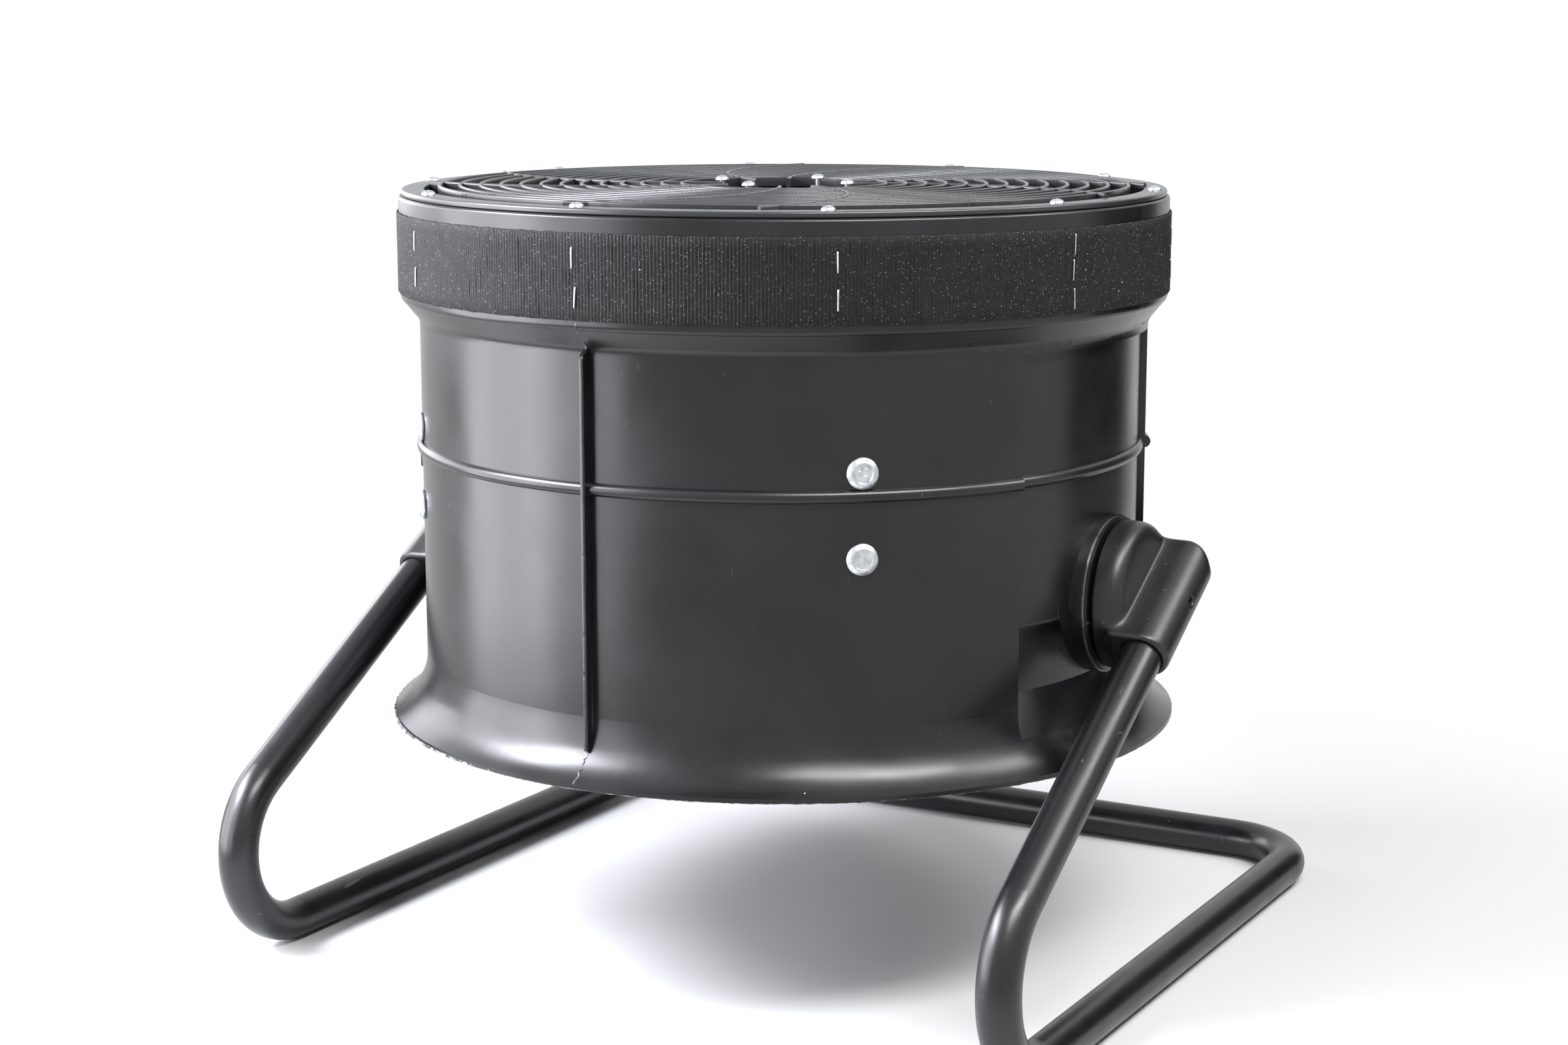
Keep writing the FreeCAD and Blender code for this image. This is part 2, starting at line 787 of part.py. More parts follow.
def add_seams(body):
    """The moulding seam stands out as a thin fin at the front and the back."""
    profile = new_sketch(body, "seam", "YZ_Plane")
    middle = S.body_radius - S.wall / 2
    low = S.flare_height / 2
    foot = flare_inside(low) + S.wall / 2
    draw_outline(profile, [
        (foot, low), (S.body_radius + S.seam_height, low), (S.body_radius + S.seam_height, neck_height),
        (middle, neck_height + S.neck_rise)])
    fin = extrude(body, "seam", profile, S.seam_thickness, middle=True)
    ring_of(body, "seams", [fin], 2)


def add_screw_bosses(body):
    """Bosses under the top shelf for the guard's screws."""
    discs = new_sketch(body, "boss", "XY_Plane", lift=shelf_bottom - S.boss_depth, turn=GUARD_SCREW_AZIMUTH)
    draw_circle(discs, S.boss_diameter / 2, guard_screw_circle, 0)
    boss = extrude(body, "boss", discs, S.boss_depth + 1)
    bosses = ring_of(body, "bosses", [boss], GUARD_SCREW_COUNT)
    holes = new_sketch(body, "pilot", "XY_Plane", lift=S.drum_height, turn=GUARD_SCREW_AZIMUTH)
    draw_circle(holes, S.screw_diameter / 2 + S.bolt_clearance, guard_screw_circle, 0)
    pilot = extrude(body, "pilot", holes, S.screw_length - S.guard_plate + 1, pocket=True)
    ring_of(body, "pilots", [pilot], GUARD_SCREW_COUNT)
    return bosses


def strut_turn(index):
    return S.strut_azimuth + index * 360 / STRUT_COUNT


def housing_bores():
    """Holes through the drum's wall for the strut bolts, the pivots and the supply leads."""
    long = flange_radius
    tools = []
    for index in range(STRUT_COUNT):
        pair = []
        for lift in (strut_bolt_low, strut_bolt_low + S.strut_bolt_gap):
            radius = S.strut_bolt_diameter / 2 + S.bolt_clearance
            pair.append(cylinder(f"strut bore {index} {len(pair)}", radius, long, (1, 0, lift), "x"))
        bores = fuse(f"strut bores {index}", pair)
        tools.append(place(bores, (0, 0, 0), turn=strut_turn(index)))
    for side in (1, -1):
        label = "right" if side > 0 else "left"
        start = 1 if side > 0 else -long
        nut_depth = S.pivot_nut_height + S.slip
        nut_start = pad_start - 1 if side > 0 else -(pad_start + nut_depth)
        tools.append(cylinder(f"pivot bore {label}", bore_radius, long, (start, 0, S.pivot_rise), "x"))
        tools.append(hexagon(f"nut pocket {label}", S.pivot_nut_flats + 2 * S.slip, nut_depth + 1,
                             (nut_start, 0, S.pivot_rise), "x"))
    tools.append(cylinder("lead hole", S.cord_bore, long, (-long, 0, lead_height), "x"))
    return tools


def make_housing():
    body = new_body("housing_shell")
    revolve(body, "wall", housing_corners())
    add_pivot_panel(body)
    add_seams(body)
    add_screw_bosses(body)
    return cut("housing", body, fuse("housing bores", housing_bores()))


def make_pivot_plate():
    body = cylinder("plate body", S.plate_diameter / 2, S.plate_thickness, (pad_face, 0, 0), "x")
    hole = cylinder("plate hole", bore_radius, pad_face, (S.wall, 0, 0), "x")
    return cut("pivot_plate_right", body, hole)


def make_pivot_nut():
    start = pad_start + S.slip
    body = hexagon("nut body", S.pivot_nut_flats, S.pivot_nut_height - S.slip, (start, 0, 0), "x")
    hole = cylinder("nut hole", bore_radius, pad_face, (S.wall, 0, 0), "x")
    return cut("pivot_nut_right", body, hole)


# ---------------------------------------------------------------- hook tape

tape_inner = rim_radius + S.slip
tape_outer = tape_inner + S.tape_thickness


def make_tape():
    top = rim_bottom + S.tape_width
    return place(turned("rim_tape", ring_corners(tape_inner, tape_outer, rim_bottom, top)), DRUM)


def make_staples():
    """Upright staples in columns round the tape: two in a column, three at the tape's joint."""
    staples = []
    for column in range(STAPLE_COLUMNS):
        azimuth = STAPLE_AZIMUTH + column * 360 / STAPLE_COLUMNS
        rows = 2 if column else 3
        pitch = S.tape_width / (rows + 0.35)
        for row_index in range(rows):
            middle = rim_bottom + S.tape_width / 2 + pitch * (row_index - (rows - 1) / 2)
            low = (tape_outer, -S.staple_width / 2, middle - S.staple_length / 2)
            high = (tape_outer + S.staple_height, S.staple_width / 2, middle + S.staple_length / 2)
            crown = block(f"staple {len(staples)}", low, high)
            staples.append(place(compound(f"staple turned {len(staples)}", [crown]), (0, 0, 0), turn=azimuth))
    return place(compound("tape_staples", staples), DRUM)


# ---------------------------------------------------------------- guards

ring_top = S.drum_height + S.guard_plate
slat_top = ring_top + S.guard_step
slat_bottom = slat_top - S.slat_depth
rib_bottom = slat_top - S.rib_depth
hub_bottom = rib_bottom - S.hub_rim_depth
slat_pitch = (guard_inner_radius - S.guard_hub_radius) / (SLAT_COUNT + LAST_GAP)


def add_rings(body, label, radii, width, low, high):
    """Concentric rings of one width, raised together."""
    sketch = new_sketch(body, label, "XY_Plane", lift=low)
    for radius in radii:
        draw_circle(sketch, radius - width / 2)
        draw_circle(sketch, radius + width / 2)
    return extrude(body, label, sketch, high - low)


def add_holes(body, label, radius, circle, count, first, top, depth):
    """Round holes on a circle, sunk from a level surface."""
    sketch = new_sketch(body, label, "XY_Plane", lift=top, turn=first)
    draw_circle(sketch, radius, circle, 0)
    hole = extrude(body, label, sketch, depth, pocket=True)
    return ring_of(body, f"{label}s", [hole], count)


def curved_rib_corners(start_radius, end_radius):
    """A rib that swings through an angle on its way out, as an arc of one radius."""
    corners = []
    start_angle = 60
    end_angle = start_angle - S.rib_sweep
    for radius, angle, side in ((start_radius, start_angle, 1), (end_radius, end_angle, 1),
                                (end_radius, end_angle, -1), (start_radius, start_angle, -1)):
        turn = angle + side * (S.rib_width / 2) / radius * (180 / math.pi)
        corners.append((radius * cosine(turn), radius * sine(turn)))
    corners[0] += (-(S.rib_radius + S.rib_width / 2),)
    corners[2] += (S.rib_radius - S.rib_width / 2,)
    return corners


def make_outlet_guard():
    """Hub, curved ribs and concentric slats inside a flat screwed ring."""
    body = new_body("outlet_guard")
    hub_width = S.guard_hub_radius - S.guard_hub_bore
    plate_width = guard_radius - guard_inner_radius
    add_rings(body, "hub", [S.guard_hub_bore + hub_width / 2], hub_width, hub_bottom, slat_top)
    add_rings(body, "plate", [guard_inner_radius + plate_width / 2], plate_width, S.drum_height, ring_top)
    sketch = new_sketch(body, "rib", "XY_Plane", lift=rib_bottom, turn=RIB_AZIMUTH - 60)
    draw_outline(sketch, curved_rib_corners(S.guard_hub_radius - 1.5, guard_inner_radius + 1))
    rib = extrude(body, "rib", sketch, S.rib_depth)
    ring_of(body, "ribs", [rib], RIB_COUNT)
    radii = [S.guard_hub_radius + slat_pitch * (index + 1) for index in range(SLAT_COUNT)]
    add_rings(body, "slats", radii, S.slat_width, slat_bottom, slat_top)
    hole = S.screw_diameter / 2 + S.bolt_clearance
    add_holes(body, "plate_hole", hole, guard_screw_circle, GUARD_SCREW_COUNT, GUARD_SCREW_AZIMUTH,
              ring_top, S.guard_plate + 1)
    add_holes(body, "hub_hole", hole, S.hub_screw_circle, HUB_SCREW_COUNT, 0,
              slat_top, slat_top - hub_bottom + 1)
    return place(body, DRUM)


def make_screw(label, azimuth, circle, seat):
    """Round-headed screw with its head's underside on the seat."""
    shank = S.screw_diameter / 2
    head = S.screw_head_diameter / 2
    edge = S.screw_length + S.screw_head_height / 3
    top = S.screw_length + S.screw_head_height
    body = turned(label, [
        (0, 0), (shank, 0), (shank, S.screw_length), (head, S.screw_length), (head, edge, head),
        (head / 2, top), (0, top)])
    frame = (circle * cosine(azimuth), drum_y + circle * sine(azimuth), drum_z)
    return place(body, frame, turn=azimuth, lift=seat - S.screw_length)


def build_guards():
    keep(make_outlet_guard())
    for index in range(GUARD_SCREW_COUNT):
        azimuth = GUARD_SCREW_AZIMUTH + index * 360 / GUARD_SCREW_COUNT
        keep(make_screw(f"guard_screw_{index + 1}", azimuth, guard_screw_circle, ring_top))
    for index in range(HUB_SCREW_COUNT):
        azimuth = index * 360 / HUB_SCREW_COUNT
        keep(make_screw(f"hub_screw_{index + 1}", azimuth, S.hub_screw_circle, slat_top))
    keep(make_inlet_guard())


def make_inlet_guard():
    """Rings and straight spokes that snap into the bell mouth."""
    body = new_body("inlet_guard")
    top = S.inlet_height + S.inlet_depth
    outer = flare_inside(top) - S.slip
    hub = S.inlet_hub_radius
    hub_width = hub - S.inlet_hub_bore
    add_rings(body, "hub", [hub - hub_width / 2], hub_width, S.inlet_height, top)
    add_rings(body, "rim", [outer - S.inlet_rim_width / 2], S.inlet_rim_width, S.inlet_height, top)
    spoke = new_sketch(body, "spoke", "XY_Plane", lift=S.inlet_height)
    half = S.slat_width
    far = outer - S.inlet_rim_width / 2
    near = hub - hub_width / 2
    draw_outline(spoke, [(near, -half), (far, -half), (far, half), (near, half)])
    ring_of(body, "spokes", [extrude(body, "spoke", spoke, S.inlet_depth)], INLET_SPOKES)
    gap = (outer - S.inlet_rim_width - hub) / (INLET_RINGS + 1)
    radii = [hub + gap * (index + 1) for index in range(INLET_RINGS)]
    add_rings(body, "rings", radii, S.slat_width, S.inlet_height, top)
    return place(body, DRUM)


# ---------------------------------------------------------------- motor and struts

bell_top = hub_bottom
shell_top = bell_top - S.upper_bell_depth
lower_bell_bottom = S.shell_bottom - S.bell_depth
shell_inner = S.motor_radius - S.motor_wall
shaft_radius = S.shaft_diameter / 2
race = S.bearing_radius + S.slip
collar = race + 4.5
lower_race = lower_bell_bottom + 3
upper_race = bell_top - 8 - S.bearing_width


def make_motor_bells():
    """Cast end bells: the upper one closed and flat under the guard's hub, the lower one open for the shaft."""
    shoulder = S.motor_radius - S.bell_depth
    roof = bell_top - S.bell_wall
    land = bell_top - S.screw_length - 2
    land_inner = S.hub_screw_circle - S.hub_screw_land
    upper = turned("upper bell shape", [
        (shell_inner - 1, shell_top), (S.motor_radius, shell_top), (S.motor_radius, bell_top - 7),
        (S.motor_radius - 6, bell_top), (0, bell_top), (0, roof), (race, roof), (race, upper_race - 1),
        (collar, upper_race - 1), (collar, roof), (land_inner, roof),
        (land_inner, land), (shell_inner - 1, land)])
    pilots = []
    pilot_radius = S.screw_diameter / 2 + S.bolt_clearance
    for index in range(HUB_SCREW_COUNT):
        azimuth = index * 360 / HUB_SCREW_COUNT
        base = (S.hub_screw_circle * cosine(azimuth), S.hub_screw_circle * sine(azimuth), land + 2)
        pilots.append(cylinder(f"hub pilot {index}", pilot_radius, S.bell_depth, base))
    floor = lower_bell_bottom + S.bell_wall
    lower = turned("motor_bell_lower", [
        (shaft_radius + 1.5, lower_bell_bottom), (shoulder, lower_bell_bottom),
        (S.motor_radius, S.shell_bottom - 10), (S.motor_radius, S.shell_bottom),
        (shell_inner - 1, S.shell_bottom),
        (shell_inner - 1, S.shell_bottom - 7), (shoulder - 2, floor), (collar, floor),
        (collar, lower_race + S.bearing_width), (race, lower_race + S.bearing_width), (race, lower_race),
        (shaft_radius + 1.5, lower_race)])
    keep(place(cut("motor_bell_upper", upper, fuse("hub pilots", pilots)), DRUM), place(lower, DRUM))


def build_motor():
    shell = ring_corners(shell_inner, S.motor_radius, S.shell_bottom, shell_top)
    keep(place(turned("motor_shell", shell), DRUM))
    make_motor_bells()
    core_low = S.shell_bottom + S.core_margin
    core_high = shell_top - S.core_margin
    rotor = S.motor_radius / 2
    core_inner = rotor + S.fan_gap
    core_outer = shell_inner - S.slip
    keep(place(turned("stator_core", ring_corners(core_inner, core_outer, core_low, core_high)), DRUM))
    windings = []
    for label, low, high in (("lower", core_low - S.winding_height, core_low),
                             ("upper", core_high, core_high + S.winding_height)):
        coil = ring_corners(rotor + 2, shell_inner - 4, low, high)
        windings.append(turned(f"{label} winding", coil))
    keep(place(compound("stator_windings", windings), DRUM))
    for label, low in (("lower", lower_race), ("upper", upper_race)):
        race_corners = ring_corners(shaft_radius + S.slip, S.bearing_radius, low, low + S.bearing_width)
        keep(place(turned(f"bearing_{label}", race_corners), DRUM))
    keep(place(turned("motor_shaft", [
        (0, S.shaft_bottom), (shaft_radius, S.shaft_bottom), (shaft_radius, upper_race + S.bearing_width + 2),
        (0, upper_race + S.bearing_width + 2)]), DRUM))
    keep(place(turned("rotor_core", ring_corners(shaft_radius, rotor, core_low, core_high)), DRUM))


def make_strut(index):
    """A web from the motor to the drum's wall, with a curved flange at each end."""
    low = strut_bottom
    height = S.strut_height
    half = S.strut_thickness / 2
    wall_face = inner_radius - S.slip
    outer_flange = sector(f"strut outer {index}", wall_face - S.strut_thickness, wall_face, low, height,
                          (S.strut_offset + half) / inner_radius * (180 / math.pi))
    inner_face = S.motor_radius + S.slip
    inner_flange = sector(f"strut inner {index}", inner_face, inner_face + S.strut_thickness, low, height,
                          (S.strut_offset + half) / S.motor_radius * (180 / math.pi))
    web_start = S.motor_radius - 0.5
    web = block(f"strut web {index}", (web_start, -S.strut_offset - half, low),
                (wall_face - S.strut_thickness + 0.5, half - S.strut_offset, low + height))
    flat = fuse(f"strut body {index}", [outer_flange, inner_flange, web])
    holes = []
    for rise in (strut_bolt_low, strut_bolt_low + S.strut_bolt_gap):
        radius = S.strut_bolt_diameter / 2 + S.bolt_clearance
        start = (inner_radius - 3 * S.strut_thickness, 0, rise)
        holes.append(cylinder(f"strut hole {index} {len(holes)}", radius, 4 * S.strut_thickness, start, "x"))
    strut = cut(f"motor_strut_{index + 1}", flat, fuse(f"strut holes {index}", holes))
    return place(strut, DRUM, turn=strut_turn(index))


def build_struts():
    nuts = []
    head = S.strut_head_diameter / 2
    shank = S.strut_bolt_diameter / 2
    flange_face = inner_radius - S.slip - S.strut_thickness
    nut_corner = S.strut_nut_flats / 2 / cosine(30)
    nut_start = root(flange_face * flange_face - nut_corner * nut_corner) - S.slip - S.strut_nut_height
    shank_start = nut_start - 4
    head_face = S.body_radius + S.slip
    head_top = head_face + S.strut_head_height
    for index in range(STRUT_COUNT):
        keep(make_strut(index))
        for step in range(2):
            rise = strut_bolt_low + step * S.strut_bolt_gap
            bolt = turned(f"strut_bolt_{2 * index + step + 1}", [
                (shank_start, 0), (head_top, 0), (head_top, head * 0.55, 1.6 * head),
                (head_face, head), (head_face, shank), (shank_start, shank)], along="x")
            keep(place(bolt, DRUM, turn=strut_turn(index), lift=rise))
            body = hexagon(f"strut nut {index} {step}", S.strut_nut_flats, S.strut_nut_height,
                           (nut_start, 0, 0), "x")
            hole = cylinder(f"strut nut hole {index} {step}", shank + S.slip, 3 * S.strut_nut_height,
                            (nut_start - 1, 0, 0), "x")
            nut = cut(f"strut nut turned {index} {step}", body, hole)
            nuts.append(place(nut, (0, 0, rise), turn=strut_turn(index)))
    keep(place(compound("strut_nuts", nuts), DRUM))
    capacitor_y = S.capacitor_radius + S.strut_thickness / 2 - S.strut_offset + S.running_gap
    can = cylinder("capacitor can", S.capacitor_radius, S.strut_height - 2 * S.capacitor_margin,
                   (S.capacitor_reach, capacitor_y, strut_bottom + S.capacitor_margin))
    keep(place(compound("run_capacitor", [can]), DRUM, turn=strut_turn(1)))


# ---------------------------------------------------------------- impeller

def blade_corners(chord, pitch, middle):
    """A blade's section: a thin slanted strip about the hub's mid height."""
    half = chord / 2
    thick = S.blade_thickness / 2
    corners = []
    for end, side in ((-1, -1), (1, -1), (1, 1), (-1, 1)):
        across = end * half * cosine(pitch) - side * thick * sine(pitch)
        up = middle + end * half * sine(pitch) + side * thick * cosine(pitch)
        corners.append((across, up))
    return corners


def build_impeller():
    """Hub and swept blades in one moulding, on the motor's shaft, with its nut below."""
    body = new_body("impeller")
    bore = shaft_radius + S.slip
    top = S.impeller_hub_bottom + S.impeller_hub_height
    shell = S.impeller_hub_wall
    edge = S.impeller_hub_rounding
    foot = S.impeller_hub_bottom + edge
    body.Tip = revolve(body, "hub", [
        (bore, S.impeller_hub_bottom), (S.impeller_hub_radius - edge, S.impeller_hub_bottom, edge),
        (S.impeller_hub_radius, foot), (S.impeller_hub_radius, top), (S.impeller_hub_radius - shell, top),
        (S.impeller_hub_radius - shell, foot), (bore + edge, foot), (bore + edge, top), (bore, top)])
    middle = S.impeller_hub_bottom + S.impeller_hub_height / 2
    root = new_sketch(body, "blade_root", "YZ_Plane", lift=S.impeller_hub_radius - shell / 2)
    draw_outline(root, blade_corners(S.blade_root_chord, S.blade_root_pitch, middle))
    tip = new_sketch(body, "blade_tip", "YZ_Plane", lift=S.body_radius - S.wall - S.tip_gap)
    draw_outline(tip, blade_corners(S.blade_tip_chord, S.blade_tip_pitch, middle))
    blade = body.newObject("PartDesign::AdditiveLoft", "impeller_blade")
    blade.Profile = root
    blade.Sections = [tip]
    blade.Ruled = False
    ring_of(body, "blades", [blade], BLADE_COUNT)
    keep(place(body, DRUM))
    low = S.impeller_hub_bottom - S.shaft_nut_height - S.slip
    nut = hexagon("impeller nut body", S.shaft_nut_flats, S.shaft_nut_height, (0, 0, low))
    hole = cylinder("impeller nut hole", bore, 3 * S.shaft_nut_height, (0, 0, low - 1))
    keep(place(cut("impeller_nut", nut, hole), DRUM))


# ---------------------------------------------------------------- terminal box

def build_terminal_box():
    """Box over the left pivot where the supply cord enters, with its lid and gland."""
    top = box_bottom + S.box_height
    deep = low_panel_radius - S.wall
    outside = block("box outside", (-box_face, -S.box_half_width, box_bottom), (-deep, S.box_half_width, top))
    inner_half = S.box_half_width - S.box_wall
    inside = block("box inside", (-box_face - 1, -inner_half, box_bottom + S.box_wall),
                   (-deep + 1, inner_half, top - S.box_wall))
    drum = cylinder("box seat", panel_radius + S.slip, S.drum_height)
    gland_x = S.gland_flats / 2 / cosine(30) - box_face + S.slip
    start = S.box_half_width - 2 * S.box_wall
    entry = cylinder("box entry", S.cord_bore / 2, 4 * S.box_wall, (gland_x, start, lead_height), "y")
    keep(place(cut("terminal_box", outside, fuse("box hollows", [inside, drum, entry])), DRUM))
    lid = block("lid plate", (-box_face - S.lid_thickness, -S.box_half_width, box_bottom),
                (-box_face, S.box_half_width, top))
    keep(place(compound("terminal_lid", [lid]), DRUM))
    face = S.box_half_width
    base = hexagon("gland base", S.gland_flats, S.gland_length, (gland_x, face, lead_height), "y")
    cap = cylinder("gland cap", S.gland_nut_radius, S.gland_nut_length,
                   (gland_x, face + S.gland_length, lead_height), "y")
    bore = cylinder("gland bore", S.cord_bore / 2, S.gland_length + S.gland_nut_length + 2,
                    (gland_x, face - 1, lead_height), "y")
    keep(place(cut("cable_gland", fuse("gland body", [base, cap]), bore), DRUM))


# ---------------------------------------------------------------- assembly

def build_drum():
    keep(place(make_housing(), DRUM))
    keep_pair("pivot_plate", make_pivot_plate(), PIVOT)
    keep_pair("pivot_nut", make_pivot_nut(), PIVOT)
    keep(make_tape(), make_staples())
    build_guards()
    build_struts()
    build_motor()
    build_terminal_box()
    build_impeller()


def check_document():
    """Stop at the first object that failed or the first piece that isn't a sound solid."""
    for item in doc.Objects:
        if "Invalid" in item.State or "Error" in item.State:
            raise RuntimeError(f"{item.Label} failed: {item.State}")
    for item in NODES:
        if item.Shape.isNull() or not item.Shape.isValid() or not item.Shape.Solids:
            raise RuntimeError(f"{item.Label} is not a sound solid")


def main():
    build_stand()
    build_drum()
    doc.recompute()
    check_document()
    os.makedirs("parts", exist_ok=True)
    for item in NODES:
        item.Shape.exportStep(f"parts/{item.Label}.step")
        print(item.Label, len(item.Shape.Solids), round(item.Shape.Volume))


main()
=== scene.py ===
"""The looks of a tilting axial blower for inflatables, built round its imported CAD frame.

A rotomoulded drum holds a motor and a fan, and tilts between the two arms of a bent tube stand. Its rim
carries a stapled band of hook tape, and its outlet is covered by a moulded guard.

Sizes in the dataclasses are millimetres and angles are degrees. Every Blender mesh is in metres.
"""
import logging
import math
import random
from abc import ABC, abstractmethod
from dataclasses import dataclass, field
from enum import Enum
from typing import Any, Iterable, Sequence

import bmesh
import bpy
import numpy as np
from mathutils import Matrix, Vector, noise


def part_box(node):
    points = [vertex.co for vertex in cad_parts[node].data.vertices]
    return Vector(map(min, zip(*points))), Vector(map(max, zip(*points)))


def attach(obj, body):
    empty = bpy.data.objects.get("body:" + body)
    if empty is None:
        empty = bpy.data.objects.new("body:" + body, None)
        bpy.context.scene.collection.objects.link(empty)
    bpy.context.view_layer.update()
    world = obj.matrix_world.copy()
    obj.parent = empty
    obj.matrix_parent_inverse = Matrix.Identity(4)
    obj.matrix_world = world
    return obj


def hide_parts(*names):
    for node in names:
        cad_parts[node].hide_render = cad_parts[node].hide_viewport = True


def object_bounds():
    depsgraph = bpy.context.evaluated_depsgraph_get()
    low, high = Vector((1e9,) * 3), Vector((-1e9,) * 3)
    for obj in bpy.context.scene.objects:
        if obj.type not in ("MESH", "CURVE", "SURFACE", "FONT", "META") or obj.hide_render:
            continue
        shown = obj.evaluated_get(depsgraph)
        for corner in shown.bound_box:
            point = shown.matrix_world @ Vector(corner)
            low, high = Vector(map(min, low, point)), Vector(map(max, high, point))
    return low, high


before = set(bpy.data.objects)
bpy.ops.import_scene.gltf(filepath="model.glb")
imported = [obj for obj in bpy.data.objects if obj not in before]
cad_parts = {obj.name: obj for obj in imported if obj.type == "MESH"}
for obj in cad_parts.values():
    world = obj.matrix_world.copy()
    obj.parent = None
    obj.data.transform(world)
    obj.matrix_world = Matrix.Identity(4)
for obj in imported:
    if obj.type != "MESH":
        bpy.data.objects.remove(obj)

CAD_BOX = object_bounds()
MM = 0.001
LOG = logging.getLogger("blower")

Point = tuple[float, float]
Corner = tuple[float, float, float]
Sockets = dict[str | int, Any]


class Body(Enum):
    """The bodies that the pieces made here ride on."""

    STAND = "stand"
    DRUM = "drum"


class Side(Enum):
    """The two sides of the drum, as the sign of X."""

    RIGHT = 1
    LEFT = -1

    @property
    def azimuth(self) -> float:
        """Azimuth of this side's pivot pad, in degrees."""
        return 0.0 if self is Side.RIGHT else 180.0

    @property
    def label(self) -> str:
        """The side's name as the nodes spell it."""
        return self.name.lower()


# ------------------------------------------------------------------------------------------ shared geometry

@dataclass(frozen=True)
class DrumAxis:
    """Where the drum stands at rest: its upright axis and its lower edge, read from the housing's box."""

    across: float
    along: float
    base: float
    top: float

    @classmethod
    def from_frame(cls) -> "DrumAxis":
        """Read the axis from the CAD housing.

        Returns:
            The axis, in millimetres.
        """
        low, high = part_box("housing")
        middle = (low + high) / 2 / MM
        return cls(middle.x, middle.y, low.z / MM, high.z / MM)

    def at(self, radius: float, azimuth: float, height: float) -> Vector:
        """A point given round the drum's axis.

        Args:
            radius: Distance from the axis.
            azimuth: Angle from +X towards +Y.
            height: Height over the drum's lower edge.

        Returns:
            The point in metres.
        """
        turn = math.radians(azimuth)
        return Vector((self.across + radius * math.cos(turn), self.along + radius * math.sin(turn),
                       self.base + height)) * MM

    def facing(self, radius: float, azimuth: float, height: float) -> Matrix:
        """A placement on the drum whose Z points outward and whose X points up.

        Args:
            radius: Distance from the axis.
            azimuth: Angle from +X towards +Y.
            height: Height over the drum's lower edge.

        Returns:
            The placement in metres.
        """
        turn = math.radians(azimuth)
        outward = Vector((math.cos(turn), math.sin(turn), 0))
        up = Vector((0, 0, 1))
        placed = Matrix((up, outward.cross(up), outward)).transposed().to_4x4()
        placed.translation = self.at(radius, azimuth, height)
        return placed


DRUM = DrumAxis.from_frame()


def rounded(corners: Sequence[Corner], steps: int = 4) -> list[Point]:
    """Round the corners of a closed outline.

    Args:
        corners: Each corner as (across, up, radius).
        steps: Segments in each rounded corner.

    Returns:
        The outline's points.
    """
    points = []
    for index, (across, up, radius) in enumerate(corners):
        here = Vector((across, up))
        if radius == 0:
            points.append((across, up))
            continue
        back = (Vector(corners[index - 1][:2]) - here).normalized()
        ahead = (Vector(corners[(index + 1) % len(corners)][:2]) - here).normalized()
        half = back.angle(ahead) / 2
        reach = radius / math.tan(half)
        centre = here + (back + ahead).normalized() * (radius / math.sin(half))
        first = here + back * reach - centre
        last = here + ahead * reach - centre
        for step in range(steps + 1):
            spoke = first.lerp(last, step / steps).normalized() * radius
            points.append(tuple(centre + spoke))
    return points


